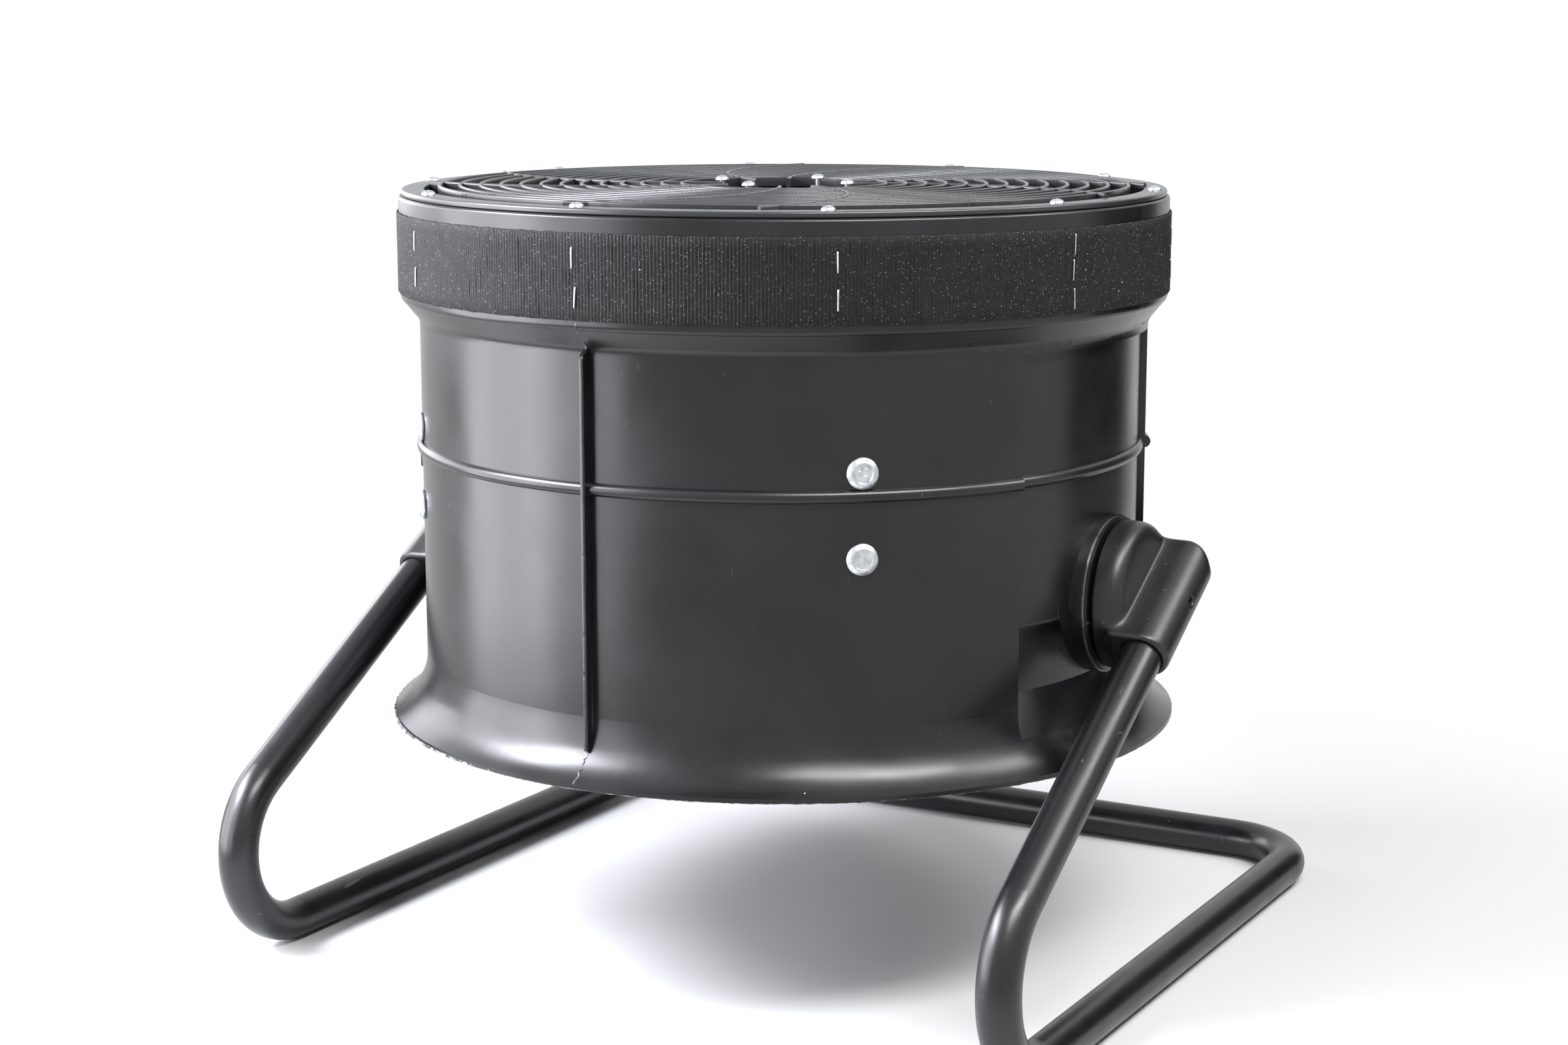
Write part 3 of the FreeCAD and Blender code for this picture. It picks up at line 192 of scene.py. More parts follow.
@dataclass
class Shell:
    """Vertices and faces collected for one mesh. Vertices are in metres."""

    verts: list[Vector] = field(default_factory=list)
    faces: list[tuple[int, ...]] = field(default_factory=list)

    def add_rows(self, rows: Sequence[Sequence[Vector]], ring: bool = False, caps: bool = False,
                 loops: bool = True) -> "Shell":
        """Join rows of points with quads.

        Args:
            rows: Rows of equal length.
            ring: Join the last row to the first.
            caps: Close the first and the last row with one face each.
            loops: Every row is a closed loop.

        Returns:
            The shell itself.
        """
        first = len(self.verts)
        width = len(rows[0])
        count = len(rows)
        for row in rows:
            self.verts.extend(row)
        for row in range(count if ring else count - 1):
            for column in range(width if loops else width - 1):
                ahead = (column + 1) % width
                above = (row + 1) % count
                self.faces.append(tuple(first + index for index in (
                    row * width + column, row * width + ahead, above * width + ahead,
                    above * width + column)))
        if caps:
            self.faces.append(tuple(first + index for index in reversed(range(width))))
            self.faces.append(tuple(first + (count - 1) * width + index for index in range(width)))
        return self

    def add_turned(self, profile: Sequence[Point], segments: int, place: Matrix) -> "Shell":
        """Turn a profile round an axis. It closes on itself unless it starts and ends on the axis.

        Args:
            profile: Points as (radius, height), in millimetres.
            segments: Segments round the axis.
            place: Placement of the axis, in metres.

        Returns:
            The shell itself.
        """
        rows = []
        for step in range(segments):
            turn = 2 * math.pi * step / segments
            rows.append([place @ (Vector((radius * math.cos(turn), radius * math.sin(turn), height)) * MM)
                         for radius, height in profile])
        return self.add_rows(rows, ring=True, loops=profile[0][0] > 0 or profile[-1][0] > 0)

    def add_ring(self, corners: Sequence[Corner], segments: int = 192, steps: int = 4) -> "Shell":
        """Turn a rounded outline round the drum's axis.

        Args:
            corners: Corners as (radius, height over the drum's lower edge, rounding).
            segments: Segments round the axis.
            steps: Segments in each rounded corner.

        Returns:
            The shell itself.
        """
        return self.add_turned(rounded(corners, steps), segments, Matrix.Translation(DRUM.at(0, 0, 0)))

    def add_swept(self, path: Sequence[Vector], section: Sequence[Point], up: Vector) -> "Shell":
        """Sweep a closed section along a path.

        Args:
            path: Points of the path, in metres.
            section: Points as (across, up), in millimetres.
            up: The section's upward direction.

        Returns:
            The shell itself.
        """
        rows = []
        for index, point in enumerate(path):
            ahead = path[min(index + 1, len(path) - 1)] - path[max(index - 1, 0)]
            across = ahead.cross(up).normalized()
            above = across.cross(ahead).normalized()
            rows.append([point + (across * side + above * rise) * MM for side, rise in section])
        return self.add_rows(rows, caps=True)

    def build(self, name: str, smooth: float = 35.0) -> bpy.types.Object:
        """Make the mesh object.

        Args:
            name: The object's name.
            smooth: Edges sharper than this angle stay sharp.

        Returns:
            The new object, in the scene.
        """
        mesh = bpy.data.meshes.new(name)
        mesh.from_pydata([tuple(point) for point in self.verts], [], self.faces)
        obj = bpy.data.objects.new(name, mesh)
        bpy.context.scene.collection.objects.link(obj)
        Bench.tidy(obj)
        Bench.smooth(obj, smooth)
        return obj


class Bench:
    """Mesh work that several sub-assemblies share."""

    refresh_every = 10
    fill_step = 0.5
    tiny = 1e-12

    @staticmethod
    def tidy(obj: bpy.types.Object, reach: float = 1e-6) -> None:
        """Weld a mesh's touching points and turn its faces outward.

        Args:
            obj: The object.
            reach: Points nearer than this, in metres, are welded.
        """
        work = bmesh.new()
        work.from_mesh(obj.data)
        bmesh.ops.remove_doubles(work, verts=work.verts, dist=reach)
        bmesh.ops.dissolve_degenerate(work, edges=work.edges, dist=reach)
        bmesh.ops.recalc_face_normals(work, faces=work.faces)
        work.to_mesh(obj.data)
        work.free()

    @staticmethod
    def smooth(obj: bpy.types.Object, angle: float) -> None:
        """Shade a mesh smooth and keep its sharp edges.

        Args:
            obj: The object.
            angle: Edges sharper than this stay sharp.
        """
        obj.data.polygons.foreach_set("use_smooth", [True] * len(obj.data.polygons))
        obj.data.set_sharp_from_angle(angle=math.radians(angle))
        obj.data.update()

    @staticmethod
    def apply(obj: bpy.types.Object) -> None:
        """Apply every modifier on an object.

        Args:
            obj: The object.
        """
        graph = bpy.context.evaluated_depsgraph_get()
        mesh = bpy.data.meshes.new_from_object(obj.evaluated_get(graph))
        obj.modifiers.clear()
        obj.data = mesh

    @staticmethod
    def modify(obj: bpy.types.Object, kind: str, **settings: Any) -> None:
        """Add one modifier and apply it.

        Args:
            obj: The object.
            kind: The modifier's type.
            settings: Its properties.
        """
        modifier = obj.modifiers.new(kind.lower(), kind)
        for key, value in settings.items():
            setattr(modifier, key, value)
        Bench.apply(obj)

    @staticmethod
    def combine(obj: bpy.types.Object, other: bpy.types.Object, operation: str, smooth: float) -> None:
        """Combine an object with another one, which is used up.

        Args:
            obj: The object that is kept.
            other: The object that cuts it or joins it.
            operation: DIFFERENCE or UNION.
            smooth: Edges sharper than this stay sharp.

        Raises:
            ValueError: If nothing of the object is left.
        """
        Bench.modify(obj, "BOOLEAN", object=other, operation=operation, solver="EXACT")
        if not obj.data.polygons:
            raise ValueError(f"nothing is left of {obj.name}")
        bpy.data.objects.remove(other)
        Bench.smooth(obj, smooth)

    @staticmethod
    def fill_hollows(obj: bpy.types.Object, shares: np.ndarray, rounds: int) -> None:
        """Fill the hollow corners of an all-quad mesh, as a casting's fillets do, and leave the rest alone.

        Args:
            obj: The object.
            shares: How freely each vertex moves, from 0 to 1.
            rounds: How many times each vertex moves towards its neighbours, if that is outward.
        """
        mesh = obj.data
        points = np.empty(len(mesh.vertices) * 3)
        mesh.vertices.foreach_get("co", points)
        points = points.reshape(-1, 3)
        edges = np.empty(len(mesh.edges) * 2, dtype=np.int64)
        mesh.edges.foreach_get("vertices", edges)
        quads = np.empty(len(mesh.polygons) * 4, dtype=np.int64)
        mesh.polygons.foreach_get("vertices", quads)
        quads = quads.reshape(-1, 4)
        starts, ends = edges.reshape(-1, 2).T
        sources, targets = np.concatenate((starts, ends)), np.concatenate((ends, starts))
        degree = np.bincount(targets, minlength=len(points))[:, None]
        for step in range(rounds):
            if step % Bench.refresh_every == 0:
                corners = points[quads]
                facing = np.cross(corners[:, 2] - corners[:, 0], corners[:, 3] - corners[:, 1])
                normals = Bench.gather(quads.ravel(), np.repeat(facing, 4, axis=0), len(points))
                normals /= np.linalg.norm(normals, axis=1, keepdims=True) + Bench.tiny
            mean = Bench.gather(targets, points[sources], len(points)) / degree
            lift = np.clip(((mean - points) * normals).sum(axis=1), 0.0, None) * shares
            points += normals * (Bench.fill_step * lift)[:, None]
        mesh.vertices.foreach_set("co", points.ravel())
        mesh.update()

    @staticmethod
    def gather(targets: np.ndarray, values: np.ndarray, count: int) -> np.ndarray:
        """Add up the values that go to each vertex.

        Args:
            targets: The vertex that each value goes to.
            values: Rows of three numbers.
            count: How many vertices there are.

        Returns:
            One row of three sums for each vertex.
        """
        return np.stack([np.bincount(targets, values[:, axis], count) for axis in range(3)], axis=1)

    @staticmethod
    def copy(node: str, name: str) -> bpy.types.Object:
        """Copy a CAD node's mesh to a new object and weld it.

        Args:
            node: The CAD node.
            name: The new object's name.

        Returns:
            The new object, in the scene.
        """
        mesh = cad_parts[node].data.copy()
        mesh.name = name
        obj = bpy.data.objects.new(name, mesh)
        bpy.context.scene.collection.objects.link(obj)
        custom = mesh.attributes.get("custom_normal")
        if custom:
            mesh.attributes.remove(custom)
        Bench.tidy(obj, reach=5e-6)
        return obj


# --------------------------------------------------------------------------------------- shared material work

def linear(value: str) -> tuple[float, float, float, float]:
    """Turn an sRGB hex colour to the linear values that the shaders use.

    Args:
        value: The colour as #rrggbb.

    Returns:
        Red, green, blue and alpha.
    """
    parts = [int(value[start:start + 2], 16) / 255 for start in (1, 3, 5)]
    return tuple(part / 12.92 if part <= 0.04045 else ((part + 0.055) / 1.055) ** 2.4
                 for part in parts) + (1.0,)


def per(size: float) -> float:
    """The texture scale that makes one feature this many millimetres wide."""
    return 1 / (size * MM)


def add_node(tree: bpy.types.NodeTree, kind: str, settings: Sockets | None = None,
             links: Sockets | None = None) -> bpy.types.Node:
    """Add one shader node.

    Args:
        tree: The material's node tree.
        kind: The node's type, without its common prefix.
        settings: Properties and input values, by name or number.
        links: Output sockets that feed its inputs, by name or number.

    Returns:
        The node.
    """
    node = tree.nodes.new("ShaderNode" + kind)
    for key, value in (settings or {}).items():
        if isinstance(key, str) and hasattr(node, key):
            setattr(node, key, value)
        else:
            node.inputs[key].default_value = value
    for key, source in (links or {}).items():
        tree.links.new(source, node.inputs[key])
    return node


@dataclass(frozen=True)
class Finish(ABC):
    """A surface finish. Its material is made once, under its own name."""

    name: str

    @abstractmethod
    def shade(self, tree: bpy.types.NodeTree, where: bpy.types.NodeSocket) -> bpy.types.Node:
        """Add the finish's nodes.

        Args:
            tree: The material's node tree.
            where: The object's own coordinates, in metres.

        Returns:
            The surface shader.
        """

    def material(self) -> bpy.types.Material:
        """The finish as a material.

        Returns:
            The material, new or already made.
        """
        made = bpy.data.materials.get(self.name)
        if made is None:
            made = bpy.data.materials.new(self.name)
            made.use_nodes = True
            made.node_tree.nodes.clear()
            where = add_node(made.node_tree, "TexCoord").outputs["Object"]
            shader = self.shade(made.node_tree, where)
            add_node(made.node_tree, "OutputMaterial", {}, {"Surface": shader.outputs[0]})
        return made

    def stretch(self, tree: bpy.types.NodeTree, where: bpy.types.NodeSocket, sizes: Sequence[float],
                ) -> bpy.types.NodeSocket:
        """Scale the coordinates so that one unit is a feature's size along each axis.

        Args:
            tree: The material's node tree.
            where: The coordinates.
            sizes: The feature's size along X, Y and Z.

        Returns:
            The scaled coordinates.
        """
        return add_node(tree, "Mapping", {"Scale": tuple(per(size) for size in sizes)}, {0: where}).outputs[0]

    def band(self, tree: bpy.types.NodeTree, source: bpy.types.NodeSocket, low: float, high: float,
             to_low: float = 0.0, to_high: float = 1.0) -> bpy.types.NodeSocket:
        """Map part of a value's range to another range, and clamp it.

        Args:
            tree: The material's node tree.
            source: The value.
            low: Where the range starts.
            high: Where the range ends.
            to_low: What the start becomes.
            to_high: What the end becomes.

        Returns:
            The mapped value.
        """
        return add_node(tree, "MapRange", {1: low, 2: high, 3: to_low, 4: to_high}, {0: source}).outputs[0]

    def blend(self, tree: bpy.types.NodeTree, amount: bpy.types.NodeSocket, first: Any, second: Any,
              ) -> bpy.types.NodeSocket:
        """Mix two colours by an amount.

        Args:
            tree: The material's node tree.
            amount: The share of the second colour.
            first: A hex colour or a socket.
            second: A hex colour or a socket.

        Returns:
            The mixed colour.
        """
        settings = {"data_type": "RGBA"}
        links = {0: amount}
        for key, colour in ((6, first), (7, second)):
            if isinstance(colour, str):
                settings[key] = linear(colour)
            else:
                links[key] = colour
        return add_node(tree, "Mix", settings, links).outputs[2]

    def bumps(self, tree: bpy.types.NodeTree, layers: Iterable[tuple[bpy.types.NodeSocket, float]],
              ) -> bpy.types.NodeSocket:
        """Stack bump layers.

        Args:
            tree: The material's node tree.
            layers: Each layer's height from 0 to 1, and what 1 stands for in millimetres.

        Returns:
            The normal.
        """
        normal = None
        for height, depth in layers:
            links = {"Height": height}
            if normal is not None:
                links["Normal"] = normal
            normal = add_node(tree, "Bump", {"Strength": 1.0, "Distance": depth * MM}, links).outputs[0]
        return normal

    def specks(self, tree: bpy.types.NodeTree, where: bpy.types.NodeSocket, spacing: float, size: float,
               share: float) -> bpy.types.NodeSocket:
        """Scattered specks.

        Args:
            tree: The material's node tree.
            where: The coordinates.
            spacing: Distance between the places where a speck may lie.
            size: A speck's radius.
            share: The share of the places that have one.

        Returns:
            One inside a speck and zero elsewhere.
        """
        cells = add_node(tree, "TexVoronoi", {"Scale": per(spacing)}, {"Vector": where})
        red = add_node(tree, "SeparateColor", {}, {0: cells.outputs["Color"]}).outputs[0]
        chosen = add_node(tree, "Math", {"operation": "LESS_THAN", 1: share}, {0: red}).outputs[0]
        reach = size / spacing
        spot = self.band(tree, cells.outputs["Distance"], reach * 0.7, reach, 1.0, 0.0)
        return add_node(tree, "Math", {"operation": "MULTIPLY"}, {0: chosen, 1: spot}).outputs[0]

    def scratches(self, tree: bpy.types.NodeTree, where: bpy.types.NodeSocket, sizes: Sequence[float],
                  rarity: float) -> bpy.types.NodeSocket:
        """Fine scratches that run along the longest of three sizes.

        Args:
            tree: The material's node tree.
            where: The coordinates.
            sizes: A scratch's size along X, Y and Z.
            rarity: From 0.5, which is many, to 0.8, which is few.

        Returns:
            One along a scratch and zero elsewhere.
        """
        place = self.stretch(tree, where, sizes)
        lines = add_node(tree, "TexNoise", {"Scale": 1.0, "Detail": 2.0, "Distortion": 0.6},
                         {"Vector": place})
        return self.band(tree, lines.outputs[0], rarity, rarity + 0.03)


@dataclass(frozen=True)
class RotomouldedPolyethylene(Finish):
    """Black polyethylene, moulded in a turning mould: a waxy half-gloss over faint orange peel and waves."""

    name: str = "rotomoulded_polyethylene"
    colour: str = "#0c0c0e"
    pale: str = "#141517"
    dust: str = "#b9bcc2"
    rough: float = 0.27
    cloud: float = 55.0
    wave: float = 70.0
    peel: float = 3.2
    wave_depth: float = 0.9
    peel_depth: float = 0.012
    mote_depth: float = 0.1
    scratch_run: tuple[float, float, float] = (3.0, 3.0, 14.0)

    def shade(self, tree: bpy.types.NodeTree, where: bpy.types.NodeSocket) -> bpy.types.Node:
        """Add the finish's nodes. Base class says what each argument is."""
        clouds = add_node(tree, "TexNoise", {"Scale": per(self.cloud), "Detail": 3.0},
                          {"Vector": where}).outputs[0]
        waves = add_node(tree, "TexNoise", {"Scale": per(self.wave), "Detail": 1.0},
                         {"Vector": where}).outputs[0]
        peel = add_node(tree, "TexNoise", {"Scale": per(self.peel), "Detail": 2.0},
                        {"Vector": where}).outputs[0]
        scratch = self.scratches(tree, where, self.scratch_run, 0.76)
        motes = self.specks(tree, where, 26.0, 0.55, 0.10)
        body = self.blend(tree, self.band(tree, clouds, 0.35, 0.7), self.colour, self.pale)
        scuffed = self.blend(tree, self.band(tree, scratch, 0.0, 1.0, 0.0, 0.08), body, self.dust)
        dusty = self.blend(tree, motes, scuffed, self.dust)
        gloss = self.band(tree, clouds, 0.3, 0.7, self.rough - 0.03, self.rough + 0.05)
        worn = add_node(tree, "Math", {"operation": "MULTIPLY_ADD", 1: 0.16},
                        {0: scratch, 2: gloss}).outputs[0]
        normal = self.bumps(tree, ((waves, self.wave_depth), (peel, self.peel_depth),
                                   (motes, self.mote_depth)))
        return add_node(tree, "BsdfPrincipled", {"IOR": 1.51, "Specular IOR Level": 0.42},
                        {"Base Color": dusty, "Roughness": worn, "Normal": normal})


@dataclass(frozen=True)
class TrimmedPolyethylene(Finish):
    """Polyethylene where a knife has trimmed the flash: torn, matt and whitened by the strain."""

    name: str = "trimmed_polyethylene"
    colour: str = "#2b2c2f"
    torn: str = "#9a9ca1"
    rough: float = 0.5
    tear: float = 4.0
    tear_depth: float = 0.15

    def shade(self, tree: bpy.types.NodeTree, where: bpy.types.NodeSocket) -> bpy.types.Node:
        """Add the finish's nodes. Base class says what each argument is."""
        tears = add_node(tree, "TexNoise", {"Scale": per(self.tear), "Detail": 4.0},
                         {"Vector": where}).outputs[0]
        colour = self.blend(tree, self.band(tree, tears, 0.45, 0.7), self.colour, self.torn)
        gloss = self.band(tree, tears, 0.3, 0.7, self.rough, self.rough + 0.2)
        normal = self.bumps(tree, ((tears, self.tear_depth),))
        return add_node(tree, "BsdfPrincipled", {"IOR": 1.51},
                        {"Base Color": colour, "Roughness": gloss, "Normal": normal})


@dataclass(frozen=True)
class MouldedPolypropylene(Finish):
    """Black injection-moulded polypropylene: a fine spark grain, with a little grey dust on what faces up."""

    name: str = "moulded_polypropylene"
    colour: str = "#232426"
    dust: str = "#7c7e82"
    rough: float = 0.28
    grain: float = 1.4
    grain_depth: float = 0.02
    film: float = 18.0
    dusting: float = 0.35

    def shade(self, tree: bpy.types.NodeTree, where: bpy.types.NodeSocket) -> bpy.types.Node:
        """Add the finish's nodes. Base class says what each argument is."""
        grain = add_node(tree, "TexNoise", {"Scale": per(self.grain), "Detail": 2.0},
                         {"Vector": where}).outputs[0]
        film = add_node(tree, "TexNoise", {"Scale": per(self.film), "Detail": 4.0},
                        {"Vector": where}).outputs[0]
        facing = add_node(tree, "SeparateXYZ", {},
                          {0: add_node(tree, "TexCoord").outputs["Normal"]}).outputs[2]
        upward = self.band(tree, facing, 0.55, 1.0)
        patch = self.band(tree, film, 0.35, 0.75, 0.3, 1.0)
        settled = add_node(tree, "Math", {"operation": "MULTIPLY"}, {0: upward, 1: patch}).outputs[0]
        amount = self.band(tree, settled, 0.0, 1.0, 0.0, self.dusting)
        colour = self.blend(tree, amount, self.colour, self.dust)
        gloss = self.band(tree, settled, 0.0, 1.0, self.rough, self.rough + 0.12)
        normal = self.bumps(tree, ((grain, self.grain_depth),))
        return add_node(tree, "BsdfPrincipled", {"IOR": 1.49},
                        {"Base Color": colour, "Roughness": gloss, "Normal": normal})


@dataclass(frozen=True)
class PaintedMetal(Finish):
    """Metal under black paint: how glossy and how bumpy the paint dries is set for each use."""

    colour: str = "#0c0d0f"
    scuff: str = "#5b5d61"
    rough: float = 0.22
    orange_peel: float = 2.6
    depth: float = 0.008
    cloud: float = 30.0
    rarity: float = 0.72
    run: tuple[float, float, float] = (5.0, 30.0, 5.0)

    def shade(self, tree: bpy.types.NodeTree, where: bpy.types.NodeSocket) -> bpy.types.Node:
        """Add the finish's nodes. Base class says what each argument is."""
        peel = add_node(tree, "TexNoise", {"Scale": per(self.orange_peel), "Detail": 2.0}, {"Vector": where})
        clouds = add_node(tree, "TexNoise", {"Scale": per(self.cloud), "Detail": 3.0},
                          {"Vector": where}).outputs[0]
        scuffs = self.scratches(tree, where, self.run, self.rarity)
        motes = self.specks(tree, where, 14.0, 0.4, 0.08)
        worn = self.blend(tree, self.band(tree, scuffs, 0.0, 1.0, 0.0, 0.4), self.colour, self.scuff)
        colour = self.blend(tree, self.band(tree, motes, 0.0, 1.0, 0.0, 0.7), worn, self.scuff)
        gloss = self.band(tree, clouds, 0.3, 0.75, self.rough - 0.03, self.rough + 0.06)
        dull = add_node(tree, "Math", {"operation": "MULTIPLY_ADD", 1: 0.2}, {0: scuffs, 2: gloss}).outputs[0]
        normal = self.bumps(tree, ((peel.outputs[0], self.depth),))
        return add_node(tree, "BsdfPrincipled", {"IOR": 1.5},
                        {"Base Color": colour, "Roughness": dull, "Normal": normal})


@dataclass(frozen=True)
class EdgeWornPlate(PaintedMetal):
    """Painted steel plate whose sheared rim has rubbed bare, so that it shows as a thin bright line."""

    name: str = "edge_worn_plate"
    bare: str = "#96989b"
    face: float = 232.0
    line: float = 0.7
    rub: float = 9.0
    rim_radius: float = 47.4
    pivot: tuple[float, float] = (0.0, 0.0)

    def shade(self, tree: bpy.types.NodeTree, where: bpy.types.NodeSocket) -> bpy.types.Node:
        """Add the finish's nodes. Base class says what each argument is."""
        shader = super().shade(tree, where)
        parts = add_node(tree, "SeparateXYZ", {}, {0: where})
        flat = add_node(tree, "CombineXYZ", {}, {1: parts.outputs[1], 2: parts.outputs[2]}).outputs[0]
        centre = (0.0, self.pivot[0] * MM, self.pivot[1] * MM)
        reach = add_node(tree, "VectorMath", {"operation": "DISTANCE", 1: centre}, {0: flat}).outputs[1]
        rim = self.band(tree, reach, self.rim_radius * MM, (self.rim_radius + 0.2) * MM)
        side = add_node(tree, "Math", {"operation": "ABSOLUTE"}, {0: parts.outputs[0]}).outputs[0]
        line = self.band(tree, side, (self.face + self.line) * MM, (self.face + self.line + 0.3) * MM,
                         1.0, 0.0)
        rim = add_node(tree, "Math", {"operation": "MULTIPLY"}, {0: rim, 1: line}).outputs[0]
        rubbed = add_node(tree, "TexNoise", {"Scale": per(self.rub), "Detail": 3.0},
                          {"Vector": where}).outputs[0]
        worn = add_node(tree, "Math", {"operation": "MULTIPLY"},
                        {0: rim, 1: self.band(tree, rubbed, 0.3, 0.55, 0.15, 1.0)}).outputs[0]
        paint = shader.inputs["Base Color"].links[0].from_socket
        tree.links.new(self.blend(tree, worn, paint, self.bare), shader.inputs["Base Color"])
        tree.links.new(worn, shader.inputs["Metallic"])
        return shader


@dataclass(frozen=True)
class WovenHookTape(Finish):
    """Woven nylon hook tape: matt charcoal rows of hooks, staggered from row to row, with pale lint in them.

    The rows are 1.6 mm apart on such tape, and are drawn 2.2 mm apart to show. The pale glints on the
    hook heads are painted highlights, drawn larger and fewer than on such tape for the same reason.
    """

    name: str = "woven_hook_tape"
    colour: str = "#040405"
    hook: str = "#1a1b1c"
    painted_glint: str = "#66676a"
    lint: str = "#a8abb0"
    row: float = 2.2
    pitch: float = 1.9
    fuzz: float = 0.7
    patch: float = 35.0
    radius: float = 247.0

    def shade(self, tree: bpy.types.NodeTree, where: bpy.types.NodeSocket) -> bpy.types.Node:
        """Add the finish's nodes. Base class says what each argument is."""
        centre = DRUM.at(0, 0, 0)
        local = add_node(tree, "VectorMath", {"operation": "SUBTRACT", 1: tuple(centre)},
                         {0: where}).outputs[0]
        parts = add_node(tree, "SeparateXYZ", {}, {0: local})
        turn = add_node(tree, "Math", {"operation": "ARCTAN2"}, {0: parts.outputs[1], 1: parts.outputs[0]})
        length = add_node(tree, "Math", {"operation": "MULTIPLY", 1: self.radius / self.row},
                          {0: turn.outputs[0]})
        height = add_node(tree, "Math", {"operation": "MULTIPLY", 1: per(self.pitch)}, {0: parts.outputs[2]})
        rows = add_node(tree, "CombineXYZ", {}, {0: height.outputs[0], 1: length.outputs[0]}).outputs[0]
        hooks = add_node(tree, "TexBrick", {
            "offset": 0.5, "Color1": linear(self.colour), "Color2": linear(self.hook),
            "Mortar": linear("#08090a"), "Scale": 1.0, "Mortar Size": 0.16, "Mortar Smooth": 0.6,
            "Bias": -0.3, "Brick Width": 1.0, "Row Height": 1.0}, {"Vector": rows})
        fuzz = add_node(tree, "TexNoise", {"Scale": per(self.fuzz), "Detail": 2.0},
                        {"Vector": where}).outputs[0]
        # Painted highlights: pale specks that stand in for light caught on the hook heads.
        painted_glints = self.specks(tree, where, 2.3, 0.45, 0.85)
        patches = add_node(tree, "TexNoise", {"Scale": per(self.patch), "Detail": 3.0},
                           {"Vector": where}).outputs[0]
        flecks = self.specks(tree, where, 7.0, 0.5, 0.035)
        faint = self.band(tree, painted_glints, 0.0, 1.0, 0.0, 0.85)
        lit = self.blend(tree, faint, hooks.outputs["Color"], self.painted_glint)
        grey = self.blend(tree, self.band(tree, patches, 0.45, 0.75, 0.0, 0.35), lit, self.hook)
        linty = self.blend(tree, flecks, grey, self.lint)
        normal = self.bumps(tree, ((hooks.outputs["Fac"], -0.25), (fuzz, 0.3)))
        return add_node(tree, "BsdfPrincipled", {
            "Roughness": 0.52, "IOR": 1.53, "Specular IOR Level": 0.24},
            {"Base Color": linty, "Normal": normal})


@dataclass(frozen=True)
class BrightZinc(Finish):
    """Bright zinc-plated steel: a pale metal with soft blurred reflections and a faint cloudiness."""

    name: str = "bright_zinc"
    colour: str = "#d3d6da"
    cloud: str = "#aeb2b8"
    rough: float = 0.24
    spangle: float = 3.0
    dint: float = 1.1
    dint_depth: float = 0.01

    def shade(self, tree: bpy.types.NodeTree, where: bpy.types.NodeSocket) -> bpy.types.Node:
        """Add the finish's nodes. Base class says what each argument is."""
        clouds = add_node(tree, "TexNoise", {"Scale": per(self.spangle), "Detail": 3.0},
                          {"Vector": where}).outputs[0]
        dints = add_node(tree, "TexNoise", {"Scale": per(self.dint), "Detail": 1.0},
                         {"Vector": where}).outputs[0]
        colour = self.blend(tree, self.band(tree, clouds, 0.35, 0.7), self.colour, self.cloud)
        gloss = self.band(tree, clouds, 0.3, 0.7, self.rough, self.rough + 0.14)
        normal = self.bumps(tree, ((dints, self.dint_depth),))
        return add_node(tree, "BsdfPrincipled", {"Metallic": 1.0},
                        {"Base Color": colour, "Roughness": gloss, "Normal": normal})


@dataclass(frozen=True)
class MouldedNylon(Finish):
    """Black moulded nylon: even and slightly soft, with a fine grain and faint flow marks."""

    name: str = "moulded_nylon"
    colour: str = "#121315"
    flow: str = "#1d1e21"
    rough: float = 0.45
    mark: float = 12.0
    grain: float = 0.9
    grain_depth: float = 0.012

    def shade(self, tree: bpy.types.NodeTree, where: bpy.types.NodeSocket) -> bpy.types.Node:
        """Add the finish's nodes. Base class says what each argument is."""
        place = self.stretch(tree, where, (self.mark, self.mark, self.mark * 3))
        marks = add_node(tree, "TexNoise", {"Scale": 1.0, "Detail": 3.0, "Distortion": 1.2},
                         {"Vector": place})
        grain = add_node(tree, "TexNoise", {"Scale": per(self.grain), "Detail": 2.0},
                         {"Vector": where}).outputs[0]
        colour = self.blend(tree, self.band(tree, marks.outputs[0], 0.4, 0.7), self.colour, self.flow)
        gloss = self.band(tree, marks.outputs[0], 0.3, 0.7, self.rough - 0.05, self.rough + 0.08)
        normal = self.bumps(tree, ((grain, self.grain_depth),))
        return add_node(tree, "BsdfPrincipled", {"IOR": 1.53},
                        {"Base Color": colour, "Roughness": gloss, "Normal": normal})


@dataclass(frozen=True)
class LaminatedSteel(Finish):
    """Stacked silicon-steel sheets: fine level lines.

    The sheets are 0.5 mm thick, and are drawn 1.6 mm thick to show.
    """

    name: str = "laminated_steel"
    colour: str = "#6d6f72"
    joint: str = "#2b2c2e"
    sheet: float = 1.6

    def shade(self, tree: bpy.types.NodeTree, where: bpy.types.NodeSocket) -> bpy.types.Node:
        """Add the finish's nodes. Base class says what each argument is."""
        level = add_node(tree, "SeparateXYZ", {}, {0: where}).outputs[2]
        sheets = add_node(tree, "Math", {"operation": "MULTIPLY", 1: per(self.sheet)}, {0: level}).outputs[0]
        lines = add_node(tree, "Math", {"operation": "PINGPONG", 1: 0.5}, {0: sheets}).outputs[0]
        mask = self.band(tree, lines, 0.06, 0.14, 1.0, 0.0)
        colour = self.blend(tree, mask, self.colour, self.joint)
        normal = self.bumps(tree, ((self.band(tree, lines, 0.0, 0.15), 0.1),))
        return add_node(tree, "BsdfPrincipled", {"Metallic": 1.0, "Roughness": 0.42},
                        {"Base Color": colour, "Normal": normal})


